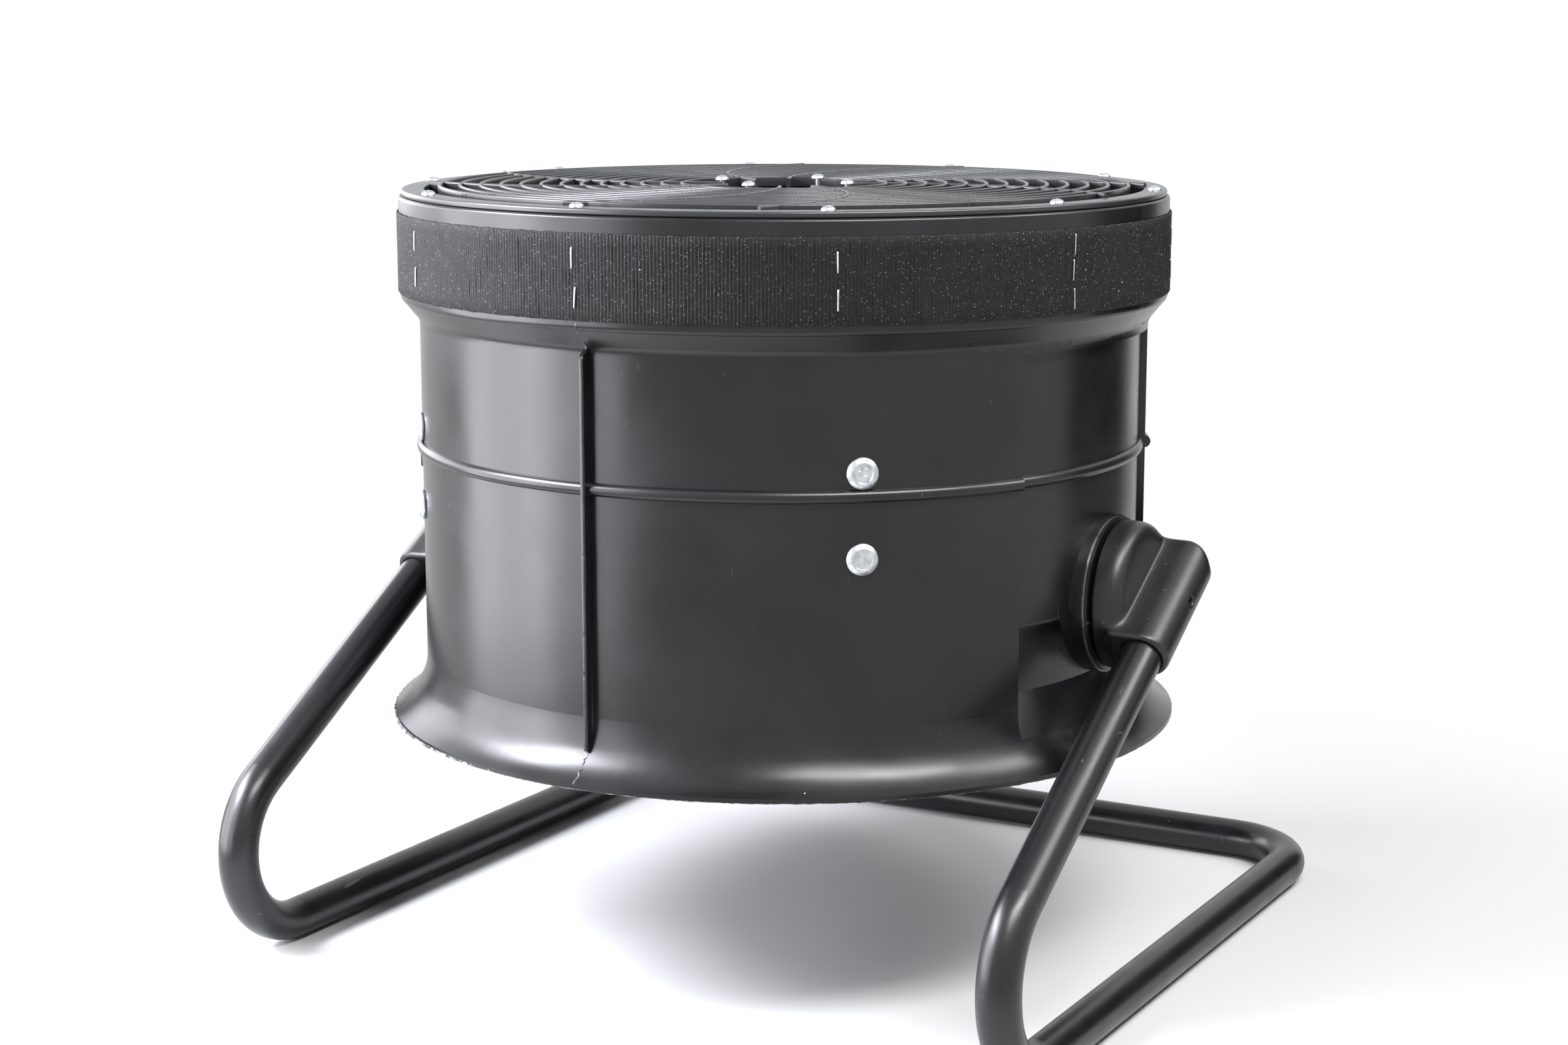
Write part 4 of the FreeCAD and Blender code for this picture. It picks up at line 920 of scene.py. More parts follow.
@dataclass(frozen=True)
class EnamelledCopper(Finish):
    """Enamelled copper wire laid in a coil: close round turns, red-brown under clear enamel.

    The grooves between the turns are darkened by painted shade.

    Such wire is about 1 mm thick, and is drawn 1.8 mm thick to show.
    """

    name: str = "enamelled_copper"
    colour: str = "#8a4a24"
    painted_groove_shade: str = "#4a2410"
    wire: float = 1.8

    def shade(self, tree: bpy.types.NodeTree, where: bpy.types.NodeSocket) -> bpy.types.Node:
        """Add the finish's nodes. Base class says what each argument is."""
        place = self.stretch(tree, where, (self.wire, self.wire, self.wire))
        turns = add_node(tree, "TexWave", {"wave_type": "RINGS", "rings_direction": "Z", "Scale": 0.32,
                                           "Distortion": 0.6}, {"Vector": place}).outputs["Fac"]
        # Painted shade: the colour darkens in the grooves between the turns, along the same rings as the
        # bump.
        colour = self.blend(tree, turns, self.painted_groove_shade, self.colour)
        normal = self.bumps(tree, ((turns, 0.4),))
        return add_node(tree, "BsdfPrincipled", {"Metallic": 0.85, "Roughness": 0.32},
                        {"Base Color": colour, "Normal": normal})


SATIN_BLACK = "#101113"


class Finishes:
    """Every finish on the blower, by the part that it is used for."""

    drum = RotomouldedPolyethylene()
    trimmed = TrimmedPolyethylene()
    blackened = PaintedMetal(name="blackened_steel", rough=0.4)
    guard = MouldedPolypropylene()
    tube = PaintedMetal(name="gloss_painted_tube", rough=0.30)
    casting = PaintedMetal(name="painted_casting", colour="#0e0f11", rough=0.36, orange_peel=1.8, depth=0.02,
                           rarity=0.72, run=(4.0, 4.0, 16.0))
    sheet = PaintedMetal(name="painted_sheet_steel", colour=SATIN_BLACK, rough=0.38,
                         orange_peel=1.5, depth=0.012)
    motor = PaintedMetal(name="painted_cast_aluminium", colour="#141517", rough=0.46,
                         orange_peel=1.2, depth=0.04)
    capacitor = MouldedNylon(name="moulded_polypropylene_can", colour="#c9c7c0", flow="#d6d4ce", rough=0.38)
    tape = WovenHookTape()
    zinc = BrightZinc()
    wire = BrightZinc(name="galvanised_wire", colour="#c3c6cb", cloud="#9a9ea5", rough=0.28)
    nylon = MouldedNylon()
    washer = MouldedNylon(name="acetal_washer", colour="#1b1c1e", flow="#232427", rough=0.36)
    impeller = MouldedNylon(name="glass_filled_nylon", colour="#1a1b1d", flow="#2a2b2e", rough=0.5, mark=20.0)
    core = LaminatedSteel()
    copper = EnamelledCopper()

    @classmethod
    def plate(cls) -> EdgeWornPlate:
        """The pivot plate's finish, with its rim round the pivot.

        Returns:
            The finish.
        """
        low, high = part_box("pivot_plate_right")
        middle = (low + high) / 2 / MM
        return EdgeWornPlate(rough=0.34, orange_peel=1.8, depth=0.02, pivot=(middle.y, middle.z))


# --------------------------------------------------------------------------------------- placing and dressing

@dataclass
class Assembly(ABC):
    """A sub-assembly of the blower. Its build method makes its pieces and dresses them."""

    seed: int = 11

    @abstractmethod
    def build(self) -> None:
        """Make the sub-assembly's pieces and dress them."""

    def keep(self, obj: bpy.types.Object, body: Body, finish: Finish, slot: str,
             stands_for: Iterable[str] = ()) -> bpy.types.Object:
        """Give a piece its finish and its body.

        Args:
            obj: The piece.
            body: The body that it rides on.
            finish: Its finish.
            slot: The record's material slot. It is not used.
            stands_for: CAD nodes that it replaces.

        Returns:
            The piece.
        """
        obj.data.materials.clear()
        obj.data.materials.append(finish.material())
        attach(obj, body.value)
        for node in stands_for:
            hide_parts(node)
        LOG.info("%s on %s", obj.name, body.value)
        return obj

    def dress(self, names: Iterable[str], finish: Finish) -> None:
        """Give CAD nodes a finish.

        Args:
            names: The CAD nodes.
            finish: Their finish.
        """
        for name in names:
            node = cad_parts[name]
            for slot in node.material_slots:
                slot.material = finish.material()
            LOG.info("%s dressed in %s", name, finish.name)


# ------------------------------------------------------------------------------------------ drum

@dataclass
class Drum(Assembly):
    """The rotomoulded housing, with the flash that its mould left along the seams and the flange."""

    flange_radius: float = 255.0
    flange_lip: float = 2.5
    flare_height: float = 38.0
    flare_radius: float = 40.5
    body_radius: float = 234.0
    fin_low: float = 19.0
    fin_high: float = 252.0
    fin_edge: float = 240.5
    neck_height: float = 253.0
    rim_bottom: float = 272.6
    rim_radius: float = 245.9
    line_width: float = 1.3
    line_height: float = 0.6
    bead_width: float = 2.9
    bead_height: float = 0.55
    panel_angle: float = 48.0
    panel_radius: float = 229.0
    pad_angle: float = 12.6
    ledge_height: float = 87.9
    ledge_bead: float = 0.9
    ledge_steps: int = 24
    slip_azimuth: float = -140.0

    def build(self) -> None:
        """Dress the housing and add its flash."""
        self.dress(["housing"], Finishes.drum)
        for name, azimuth in (("front", -90.0), ("back", 90.0)):
            self.build_parting_line(name, azimuth)
            self.build_fin_bead(name, azimuth)
        self.build_flange_flash()
        self.build_ledge_beads()

    def flare_at(self, height: float) -> float:
        """The drum's outer radius on its flare.

        Args:
            height: Height over the drum's lower edge.

        Returns:
            The radius.
        """
        drop = self.flare_height - height
        return self.body_radius + self.flare_radius - math.sqrt(max(self.flare_radius ** 2 - drop ** 2, 0.0))

    def outer_profile(self) -> tuple[list[Point], list[Point]]:
        """The drum's outline below the seam's fin and above it.

        Returns:
            Two lists of points as (radius, height).
        """
        low = [(self.flange_radius - 0.9, -0.1), (self.flange_radius - 0.7, self.flange_lip)]
        steps = 14
        for step in range(1, steps + 1):
            height = self.flange_lip + (self.fin_low - self.flange_lip) * step / steps
            low.append((self.flare_at(height), height))
        high = [(self.body_radius + 0.4, self.neck_height + 1.5), (self.body_radius + 1.4, 256.5),
                (self.body_radius + 3.0, 259.5), (239.5, 263.6), (243.2, 267.4), (245.0, 269.5),
                (self.rim_radius, self.rim_bottom)]
        return low, high

    def build_parting_line(self, name: str, azimuth: float) -> None:
        """A thin raised line where the mould's halves met, over the flare and the neck.

        Args:
            name: Which seam it is.
            azimuth: Where the seam is.
        """
        shell = Shell()
        draw = random.Random(self.seed + int(azimuth))
        for points in self.outer_profile():
            rows = []
            for index, (radius, height) in enumerate(points):
                before = Vector(points[max(index - 1, 0)])
                after = Vector(points[min(index + 1, len(points) - 1)])
                along = (after - before).normalized()
                out = Vector((along.y, -along.x))
                drift = draw.uniform(-0.8, 0.8)
                sink = Vector((radius, height)) - out * 0.35
                crest = Vector((radius, height)) + out * self.line_height * draw.uniform(0.6, 1.2)
                turn = math.degrees(1 / radius)
                half = self.line_width / 2 * draw.uniform(0.7, 1.3)
                rows.append([DRUM.at(sink.x, azimuth + (drift - half) * turn, sink.y),
                             DRUM.at(crest.x, azimuth + (drift - half * 0.3) * turn, crest.y),
                             DRUM.at(crest.x, azimuth + (drift + half * 0.3) * turn, crest.y),
                             DRUM.at(sink.x, azimuth + (drift + half) * turn, sink.y)])
            shell.add_rows(rows, caps=True)
        self.keep(shell.build(f"parting_line_{name}", 50), Body.DRUM, Finishes.trimmed, "drum_plastic")

    def build_fin_bead(self, name: str, azimuth: float) -> None:
        """The uneven bead along the fin's outer edge, with a few nicks.

        Args:
            name: Which seam it is.
            azimuth: Where the seam is.
        """
        draw = random.Random(self.seed + int(azimuth) + 1)
        section = rounded([(-1, -1, 0.2), (1, -1, 0.2), (1, 1, 0.8), (-1, 1, 0.8)], 2)
        turn = math.degrees(1 / self.fin_edge)
        steps = 150
        rows = []
        for step in range(steps + 1):
            height = self.fin_low + 1.0 + (self.fin_high - self.fin_low - 1.6) * step / steps
            wave = noise.noise(Vector((height * 0.035, azimuth, 3.0)))
            nick = 0.25 if noise.noise(Vector((height * 0.21, 7.0, azimuth))) > 0.42 else 1.0
            half = self.bead_width / 2 * (1 + 0.10 * wave)
            rise = self.bead_height * (0.8 + 0.5 * wave + draw.uniform(-0.12, 0.12)) * nick
            drift = 0.18 * noise.noise(Vector((height * 0.05, 1.0, azimuth)))
            rows.append([DRUM.at(self.fin_edge + (out * rise if out > 0 else out * 0.6),
                                 azimuth + (across * half + drift) * turn, height)
                                 for across, out in section])
        self.keep(Shell().add_rows(rows, caps=True).build(f"fin_bead_{name}"), Body.DRUM, Finishes.drum,
                  "drum_plastic")

    def build_ledge_beads(self) -> None:
        """Raise the thin bead along the ledge in each sunken panel, on both sides of its pivot pad."""
        shell = Shell()
        for side in Side:
            for first, last in ((-self.panel_angle, -self.pad_angle), (self.pad_angle, self.panel_angle)):
                rows = []
                for step in range(self.ledge_steps + 1):
                    azimuth = side.azimuth + first + (last - first) * step / self.ledge_steps
                    rows.append([DRUM.at(self.panel_radius + self.ledge_bead * math.cos(corner),
                                         azimuth, self.ledge_height + self.ledge_bead * math.sin(corner))
                                 for corner in (index * math.pi / 3 for index in range(6))])
                shell.add_rows(rows, caps=True)
        self.keep(shell.build("ledge_beads", 60), Body.DRUM, Finishes.drum, "drum_plastic")

    def build_flange_flash(self) -> None:
        """Ragged trimmed flash under the flange's edge, longest where the knife slipped."""
        draw = random.Random(self.seed + 5)
        steps = 900
        rows = []
        for step in range(steps):
            azimuth = 360 * step / steps
            slip = max(math.cos(math.radians(azimuth - self.slip_azimuth)), 0.0) ** 9
            drop = 0.45 + 0.3 * noise.noise(Vector((azimuth * 0.4, 2.0, 0.0))) + draw.uniform(0.0, 0.3)
            drop = max(drop + slip * 0.8, 0.15)
            tear = 1.6 * slip * (0.7 + noise.noise(Vector((azimuth * 1.3, 9.0, 0.0)))
                                 + draw.uniform(-0.15, 0.15))
            outer = self.flange_radius - 0.35 + max(tear, 0.0)
            rows.append([DRUM.at(self.flange_radius - 1.6, azimuth, 0.4),
                         DRUM.at(self.flange_radius - 0.7, azimuth, -drop),
                         DRUM.at(outer, azimuth, -drop * 0.6),
                         DRUM.at(outer + 0.1 * slip, azimuth, 0.5 + max(tear, 0.0))])
        self.keep(Shell().add_rows(rows, ring=True).build("flange_flash"), Body.DRUM, Finishes.trimmed,
                  "drum_plastic")


@dataclass
class RimTape(Assembly):
    """The woven hook tape round the rim, ribbed upright, with its staples."""

    outer: float = 247.5
    inner: float = 245.95
    low: float = 273.5
    width: float = 51.0
    rib: float = 2.2
    rib_depth: float = 0.55
    rows: int = 9
    wander: float = 0.45
    joint: float = -19.6
    joint_gap: float = 0.9
    staple_columns: int = 10
    staple_azimuth: float = -18.0
    staple_length: float = 12.0

    def build(self) -> None:
        """Make the tape and its staples."""
        self.build_tape()
        self.build_staples()

    def build_tape(self) -> None:
        """Weave the band as upright ribs with slightly ragged edges."""
        draw = random.Random(self.seed)
        ribs = round(2 * math.pi * self.outer / self.rib)
        crests = (0.0, 0.75, 1.0, 0.75)
        high = self.low + self.width
        loops = []
        for column in range(ribs * len(crests)):
            azimuth = 360 * column / (ribs * len(crests))
            crest = crests[column % len(crests)]
            near = (azimuth - self.joint + 180) % 360 - 180
            in_gap = abs(near * math.pi / 180 * self.outer) < self.joint_gap
            lift = 0.25 * math.exp(-abs(near) * 0.9) if near > 0 else 0.0
            outer = self.outer - 0.3 - self.rib_depth * (1 - crest) + lift - (0.9 if in_gap else 0.0)
            bottom = self.low + self.wander * (0.5 + noise.noise(Vector((azimuth * 0.5, 1.0, 0.0))))
            top = high - self.wander * (0.5 + noise.noise(Vector((azimuth * 0.6, 5.0, 0.0))))
            bottom += draw.uniform(0.0, 0.3)
            top -= draw.uniform(0.0, 0.3)
            loop = [(self.inner, self.low + 1.0), (self.inner + 0.5, bottom), (outer - 0.35, bottom + 0.05)]
            for row in range(self.rows):
                share = row / (self.rows - 1)
                height = bottom + 0.6 + (top - bottom - 1.2) * share
                loop.append((outer + draw.uniform(-0.09, 0.09),
                             height + draw.uniform(-0.3, 0.3) * (0 < share < 1)))
            loop += [(outer - 0.35, top - 0.05), (self.inner + 0.5, top), (self.inner, high - 1.0)]
            loops.append([DRUM.at(radius, azimuth, height) for radius, height in loop])
        tape = Shell().add_rows(loops, ring=True).build("hook_tape_band", 80)
        self.keep(tape, Body.DRUM, Finishes.tape, "hook_tape", ["rim_tape"])

    def build_staples(self) -> None:
        """Drive round wire staples into the tape, each a little askew."""
        draw = random.Random(self.seed + 3)
        half = self.staple_length / 2
        bent = [(-half, -1.0), (-half, -0.3), (-half + 0.15, 0.12), (-half + 0.6, 0.3), (0.0, 0.34),
                (half - 0.6, 0.3), (half - 0.15, 0.12), (half, -0.3), (half, -1.0)]
        section = [(0.5 * math.cos(step * math.pi / 4), 0.27 * math.sin(step * math.pi / 4))
                   for step in range(8)]
        shell = Shell()
        for column in range(self.staple_columns):
            azimuth = self.staple_azimuth + column * 360 / self.staple_columns
            rows = 2 if column else 3
            pitch = self.width / (rows + 0.35)
            for row in range(rows):
                height = self.low + self.width / 2 + pitch * (row - (rows - 1) / 2) + draw.uniform(-1.0, 1.0)
                slip = math.degrees(draw.uniform(-1.4, 1.4) / self.outer)
                place = DRUM.facing(self.outer - 0.15, azimuth + slip, height)
                tilt = Matrix.Rotation(math.radians(draw.uniform(-5.0, 5.0)), 4, "Z")
                path = [place @ tilt @ (Vector((along, 0.0, out)) * MM) for along, out in bent]
                shell.add_swept(path, section, place.to_3x3() @ Vector((0, 0, 1)))
        self.keep(shell.build("wire_staples", 60), Body.DRUM, Finishes.wire, "zinc_steel", ["tape_staples"])


# ------------------------------------------------------------------------------------------ guards

@dataclass
class OutletGuard(Assembly):
    """The moulded outlet guard: a screwed ring, concentric slats, curved ribs and a hub over the motor."""

    plate_radius: float = 244.0
    plate_inner: float = 229.5
    plate_low: float = 334.0
    plate_high: float = 338.0
    slat_count: int = 13
    last_gap: float = 0.76
    slat_width: float = 2.3
    slat_low: float = 333.4
    slat_high: float = 340.4
    hub_radius: float = 52.8
    hub_bore: float = 33.0
    hub_low: float = 330.9
    hub_sink: float = 0.9
    rib_count: int = 12
    rib_azimuth: float = -4.5
    rib_sweep: float = 30.0
    rib_curve: float = 155.0
    rib_low: float = 332.4
    rib_width: float = 2.6
    boss_radius: float = 6.0
    hub_screw_circle: float = 46.0

    def build(self) -> None:
        """Make the guard in one moulding."""
        shell = Shell()
        plate = [(self.plate_inner, self.plate_low, 0.3), (self.plate_radius, self.plate_low, 1.3),
                 (self.plate_radius, self.plate_high, 1.5), (self.plate_inner, self.plate_high, 0.5)]
        shell.add_ring(plate, 256)
        pitch = (self.plate_inner - self.hub_radius) / (self.slat_count + self.last_gap)
        for index in range(self.slat_count):
            middle = self.hub_radius + pitch * (index + 1)
            half = self.slat_width / 2
            shell.add_ring([(middle - half, self.slat_low, 0.4), (middle + half, self.slat_low, 0.4),
                            (middle + half, self.slat_high, 1.0),
                            (middle - half, self.slat_high, 1.0)], 224, 3)
        hub_top = self.slat_high - self.hub_sink
        shell.add_ring([(self.hub_bore, self.hub_low, 0.3), (self.hub_radius, self.hub_low, 0.4),
                        (self.hub_radius, hub_top, 0.8), (self.hub_bore, hub_top, 0.6)], 128)
        guard = shell.build("outlet_grille")
        ribs = Shell()
        for index in range(self.rib_count):
            self.add_rib(ribs, self.rib_azimuth + 360 * index / self.rib_count)
        for index in range(4):
            place = Matrix.Translation(DRUM.at(self.hub_screw_circle, 90 * index, 0))
            ribs.add_turned(rounded([(2.2, self.rib_low, 0), (self.boss_radius, self.rib_low, 0),
                                     (self.boss_radius, self.slat_high, 0.7), (2.2, self.slat_high, 0.2)], 3),
                            32, place)
        Bench.combine(guard, ribs.build("outlet_ribs"), "UNION", 35)
        self.keep(guard, Body.DRUM, Finishes.guard, "guard_plastic", ["outlet_guard"])

    def add_rib(self, shell: Shell, azimuth: float) -> None:
        """Add one rib, which swings back through an angle on its way out.

        Args:
            shell: The shell that it is added to.
            azimuth: Where it leaves the hub.
        """
        inner = self.hub_bore + 4.0
        starts = (self.hub_radius - 1.5, azimuth)
        ends = (self.plate_inner + 1.0, azimuth - self.rib_sweep)
        start, finish = (Vector((radius * math.cos(math.radians(turn)),
                                 radius * math.sin(math.radians(turn))))
                         for radius, turn in (starts, ends))
        chord = finish - start
        right = Vector((chord.y, -chord.x)).normalized()
        centre = (start + finish) / 2 + right * math.sqrt(self.rib_curve ** 2 - chord.length_squared / 4)
        first = math.atan2(start.y - centre.y, start.x - centre.x)
        last = math.atan2(finish.y - centre.y, finish.x - centre.x)
        sweep = (last - first + math.pi) % (2 * math.pi) - math.pi
        lead = -0.12 * sweep / abs(sweep)
        steps = 30
        path = []
        for step in range(steps + 1):
            turn = first + lead + (sweep - lead) * step / steps
            point = centre + Vector((math.cos(turn), math.sin(turn))) * self.rib_curve
            if point.length > inner:
                path.append(DRUM.at(point.length, math.degrees(math.atan2(point.y, point.x)),
                                    (self.rib_low + self.slat_high) / 2))
        half = self.rib_width / 2
        rise = (self.slat_high - self.rib_low) / 2
        section = rounded([(-half, -rise, 0.4), (half, -rise, 0.4), (half, rise, 1.1), (-half, rise, 1.1)], 3)
        shell.add_swept(path, section, Vector((0, 0, 1)))


@dataclass
class InletGuard(Assembly):
    """The guard in the bell mouth: round-edged rings and straight spokes round a hub."""

    low: float = 7.0
    high: float = 11.0
    hub_radius: float = 40.0
    hub_bore: float = 20.0
    rim_radius: float = 238.95
    rim_width: float = 9.0
    bar: float = 2.3
    rings: int = 9
    spokes: int = 6

    def build(self) -> None:
        """Make the guard in one moulding."""
        shell = Shell()
        span = self.rim_radius - self.rim_width - self.hub_radius
        bands = [(self.hub_bore, self.hub_radius), (self.rim_radius - self.rim_width, self.rim_radius)]
        for index in range(self.rings):
            middle = self.hub_radius + span * (index + 1) / (self.rings + 1)
            bands.append((middle - self.bar / 2, middle + self.bar / 2))
        for inner, outer in bands:
            shell.add_ring([(inner, self.low, 0.9), (outer, self.low, 0.9), (outer, self.high, 0.9),
                            (inner, self.high, 0.9)], 160, 3)
        guard = shell.build("inlet_grille")
        spokes = Shell()
        half = self.bar
        rise = (self.high - self.low) / 2
        section = rounded([(-half, -rise, 0.9), (half, -rise, 0.9), (half, rise, 0.9), (-half, rise, 0.9)], 3)
        for index in range(self.spokes):
            azimuth = 360 * index / self.spokes
            path = [DRUM.at(radius, azimuth, (self.low + self.high) / 2)
                    for radius in (self.hub_radius - 6.0, self.rim_radius / 2, self.rim_radius - 4.0)]
            spokes.add_swept(path, section, Vector((0, 0, 1)))
        Bench.combine(guard, spokes.build("inlet_spokes"), "UNION", 35)
        self.keep(guard, Body.DRUM, Finishes.guard, "guard_plastic", ["inlet_guard"])


@dataclass
class PanScrews(Assembly):
    """The guard's pan-head screws with their cross recesses."""

    head_radius: float = 4.3
    head_height: float = 2.8
    shank: float = 1.8
    length: float = 15.0
    arm: float = 2.3
    arm_width: float = 0.9
    recess: float = 1.5

    def build(self) -> None:
        """Place a screw at every CAD screw, each turned differently."""
        draw = random.Random(self.seed)
        first = self.make_head()
        names = [f"guard_screw_{index}" for index in range(1, 11)]
        names += [f"hub_screw_{index}" for index in range(1, 5)]
        for name in names:
            low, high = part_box(name)
            place = Matrix.Translation(((low.x + high.x) / 2, (low.y + high.y) / 2,
                                        high.z - self.head_height * MM))
            screw = bpy.data.objects.new(f"pan_{name}", first.data.copy())
            bpy.context.scene.collection.objects.link(screw)
            screw.data.transform(place @ Matrix.Rotation(draw.uniform(0, math.pi / 2), 4, "Z"))
            self.keep(screw, Body.DRUM, Finishes.zinc, "zinc_steel", [name])
        bpy.data.objects.remove(first)

    def make_head(self) -> bpy.types.Object:
        """Turn one screw with its head's underside at zero, and cut its cross.

        Returns:
            The screw.
        """
        dome = []
        for step in range(9):
            turn = math.radians(8 + 82 * step / 8)
            dome.append((self.head_radius * math.cos(turn) ** 0.8 if step < 8 else 0.0,
                         self.head_height * math.sin(turn)))
        profile = [(0.0, -self.length), (self.shank * 0.5, -self.length), (self.shank, -self.length + 2.5),
                   (self.shank, 0.0), (self.head_radius, 0.0)] + dome
        screw = Shell().add_turned(profile, 40, Matrix.Identity(4)).build("screw_blank")
        rows = []
        for height, reach, half in ((self.head_height - self.recess, self.arm * 0.5, self.arm_width * 0.4),
                                    (self.head_height + 0.5, self.arm, self.arm_width * 0.6)):
            arm = [Vector((half, half, height)), Vector((half, reach, height)),
                   Vector((-half, reach, height))]
            rows.append([Matrix.Rotation(quarter * math.pi / 2, 3, "Z") @ point * MM
                         for quarter in range(4) for point in arm])
        cross = Shell().add_rows(rows, caps=True)
        Bench.combine(screw, cross.build("cross_cutter"), "DIFFERENCE", 35)
        return screw


# ------------------------------------------------------------------------------------- bolts through the wall

class BoltHead(Enum):
    """The two heads of strut bolt."""

    DIMPLED = "dimpled"
    PLAIN = "plain"


@dataclass
class StrutBolts(Assembly):
    """The flat-topped dome heads that hold the motor's struts. The upper ones have a dimpled middle."""

    head_radius: float = 9.5
    head_height: float = 3.6
    seat: float = 234.05
    flat_radius: float = 5.6
    shank: float = 4.0
    shank_start: float = 216.4
    low: float = 138.0
    gap: float = 50.0
    first_azimuth: float = 40.0

    def build(self) -> None:
        """Place the eight bolts in four pairs."""
        number = 0
        for pair in range(4):
            azimuth = self.first_azimuth + 90 * pair
            for head, height in ((BoltHead.PLAIN, self.low), (BoltHead.DIMPLED, self.low + self.gap)):
                number += 1
                bolt = self.make_bolt(head, DRUM.facing(self.seat, azimuth, height), f"dome_bolt_{number}")
                self.keep(bolt, Body.DRUM, Finishes.zinc, "zinc_steel", [f"strut_bolt_{number}"])

    def make_bolt(self, head: BoltHead, place: Matrix, name: str) -> bpy.types.Object:
        """Turn one bolt.

        Args:
            head: Its kind of head.
            place: Where its head sits, with Z outward.
            name: The object's name.

        Returns:
            The bolt.
        """
        edge = self.head_radius
        top = self.head_height
        shoulder = rounded([(self.shank, 0.0, 0), (edge, 0.0, 0.3), (edge, top * 0.45, 1.2),
                            (self.flat_radius + 1.2, top, 1.6), (self.flat_radius, top, 0.3)], 5)
        dip = 0.8 if head is BoltHead.DIMPLED else 0.25
        profile = [(0.0, self.shank_start - self.seat), (self.shank - 0.6, self.shank_start - self.seat),
                   (self.shank, self.shank_start - self.seat + 0.8)] + shoulder
        profile += [(self.flat_radius - 0.5, top - dip), (0.0, top - dip * (1.0 if dip > 0.5 else 0.6))]
        shell = Shell().add_turned(profile, 64, place)
        if head is BoltHead.DIMPLED:
            for turn in (80.0, 200.0, 320.0):
                spin = Matrix.Rotation(math.radians(turn), 4, "Z") @ Matrix.Translation((2.5 * MM, 0, 0))
                button = rounded([(0.0, top - dip - 0.3, 0), (1.7, top - dip - 0.3, 0),
                                  (1.7, top - 0.25, 0.45),
                                  (0.0, top - 0.1, 0)], 3)
                shell.add_turned(button, 24, place @ spin)
        return shell.build(name, 40)


# ------------------------------------------------------------------------------------------ stand

@dataclass
class Stand(Assembly):
    """The bent tube, and on each side the cast bracket with its bolt, washer and lock screw."""

    voxel: float = 0.8
    soften: int = 90
    fill: int = 260
    back_face: float = 239.0
    arm_slope: float = 31.2
    arm_side: float = 267.5
    arm_drop: float = 4.8
    bore_radius: float = 13.0
    bore_margin: float = 1.0
    bore_fade: float = 2.0
    back_fade: float = 4.0
    socket_radius: float = 17.0
    socket_margin: float = 1.0
    last_soften: int = 3
    screw_radius: float = 3.0
    screw_margin: float = 1.5
    screw_chamfer: float = 0.4
    socket_flats: float = 3.0
    socket_depth: float = 1.4
    cutter_rise: float = 0.5

    def build(self) -> None:
        """Dress the tube and build the brackets."""
        self.dress(["stand_tube"], Finishes.tube)
        for side in Side:
            self.build_casting(side)
            self.build_lock_screw(side)
            self.dress([f"friction_washer_{side.label}"], Finishes.washer)
            self.dress([f"pivot_bolt_{side.label}"], Finishes.zinc)

    def build_casting(self, side: Side) -> None:
        """Cast the bracket: the CAD shape with its hollow corners filled and its edges softened, bores kept.

        Args:
            side: Which side it is on.
        """
        node = f"pivot_bracket_{side.label}"
        casting = Bench.copy(node, f"cast_{node}")
        Bench.modify(casting, "REMESH", mode="VOXEL", voxel_size=self.voxel * MM)
        low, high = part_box(f"pivot_bolt_{side.label}")
        pivot = (low + high) / 2
        slope = math.radians(self.arm_slope)
        along = Vector((0, math.cos(slope), math.sin(slope)))
        base = Vector((side.value * self.arm_side * MM, pivot.y, pivot.z - self.arm_drop * MM))
        weights = casting.vertex_groups.new(name="soft")
        shares: list[float] = []
        for vertex in casting.data.vertices:
            from_arm = vertex.co - base
            reach = (from_arm - along * from_arm.dot(along)).length / MM
            from_lock = math.hypot(vertex.co.y - pivot.y, vertex.co.z - pivot.z) / MM
            near_lock = (from_lock < self.screw_radius + self.screw_margin
                         and reach < self.socket_radius + self.socket_margin)
            share = min(max((reach - self.bore_radius - self.bore_margin) / self.bore_fade, 0.0), 1.0)
            share *= min(max((abs(vertex.co.x) / MM - self.back_face) / self.back_fade, 0.0), 1.0)
            shares.append(0.0 if near_lock else share)
            weights.add([vertex.index], shares[-1], "REPLACE")
        Bench.fill_hollows(casting, np.array(shares), self.fill)
        Bench.modify(casting, "SMOOTH", factor=0.5, iterations=self.soften, vertex_group="soft")
        Bench.modify(casting, "SMOOTH", factor=0.5, iterations=self.last_soften)
        Bench.smooth(casting, 60)
        self.keep(casting, Body.STAND, Finishes.casting, "bracket_paint", [node])

    def build_lock_screw(self, side: Side) -> None:
        """Set the lock screw into its socket, with a hexagon recess.

        Args:
            side: Which side it is on.
        """
        node = f"tube_lock_screw_{side.label}"
        low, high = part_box(node)
        middle = (low + high) / 2
        outer = high.x if side is Side.RIGHT else low.x
        length = (high.x - low.x) / MM
        turn = Matrix.Rotation(math.radians(90 * side.value), 4, "Y")
        place = Matrix.Translation((outer, middle.y, middle.z)) @ turn
        edge = self.screw_radius
        profile = [(0.0, -length), (edge, -length), (edge, -self.screw_chamfer),
                   (edge - self.screw_chamfer, 0.0), (0.0, 0.0)]
        screw = Shell().add_turned(profile, 32, place).build(f"socket_{node}")
        cutter = Shell()
        reach = self.socket_flats / 2 / math.cos(math.pi / 6)
        rows = [[place @ (Vector((reach * math.cos(step * math.pi / 3), reach * math.sin(step * math.pi / 3),
                                  height)) * MM) for step in range(6)]
                for height in (-self.socket_depth, self.cutter_rise)]
        cutter.add_rows(rows, caps=True)
        Bench.combine(screw, cutter.build("hexagon_cutter"), "DIFFERENCE", 35)
        self.keep(screw, Body.STAND, Finishes.blackened, "zinc_steel", [node])


# --------------------------------------------------------------------------------------- fittings on the drum

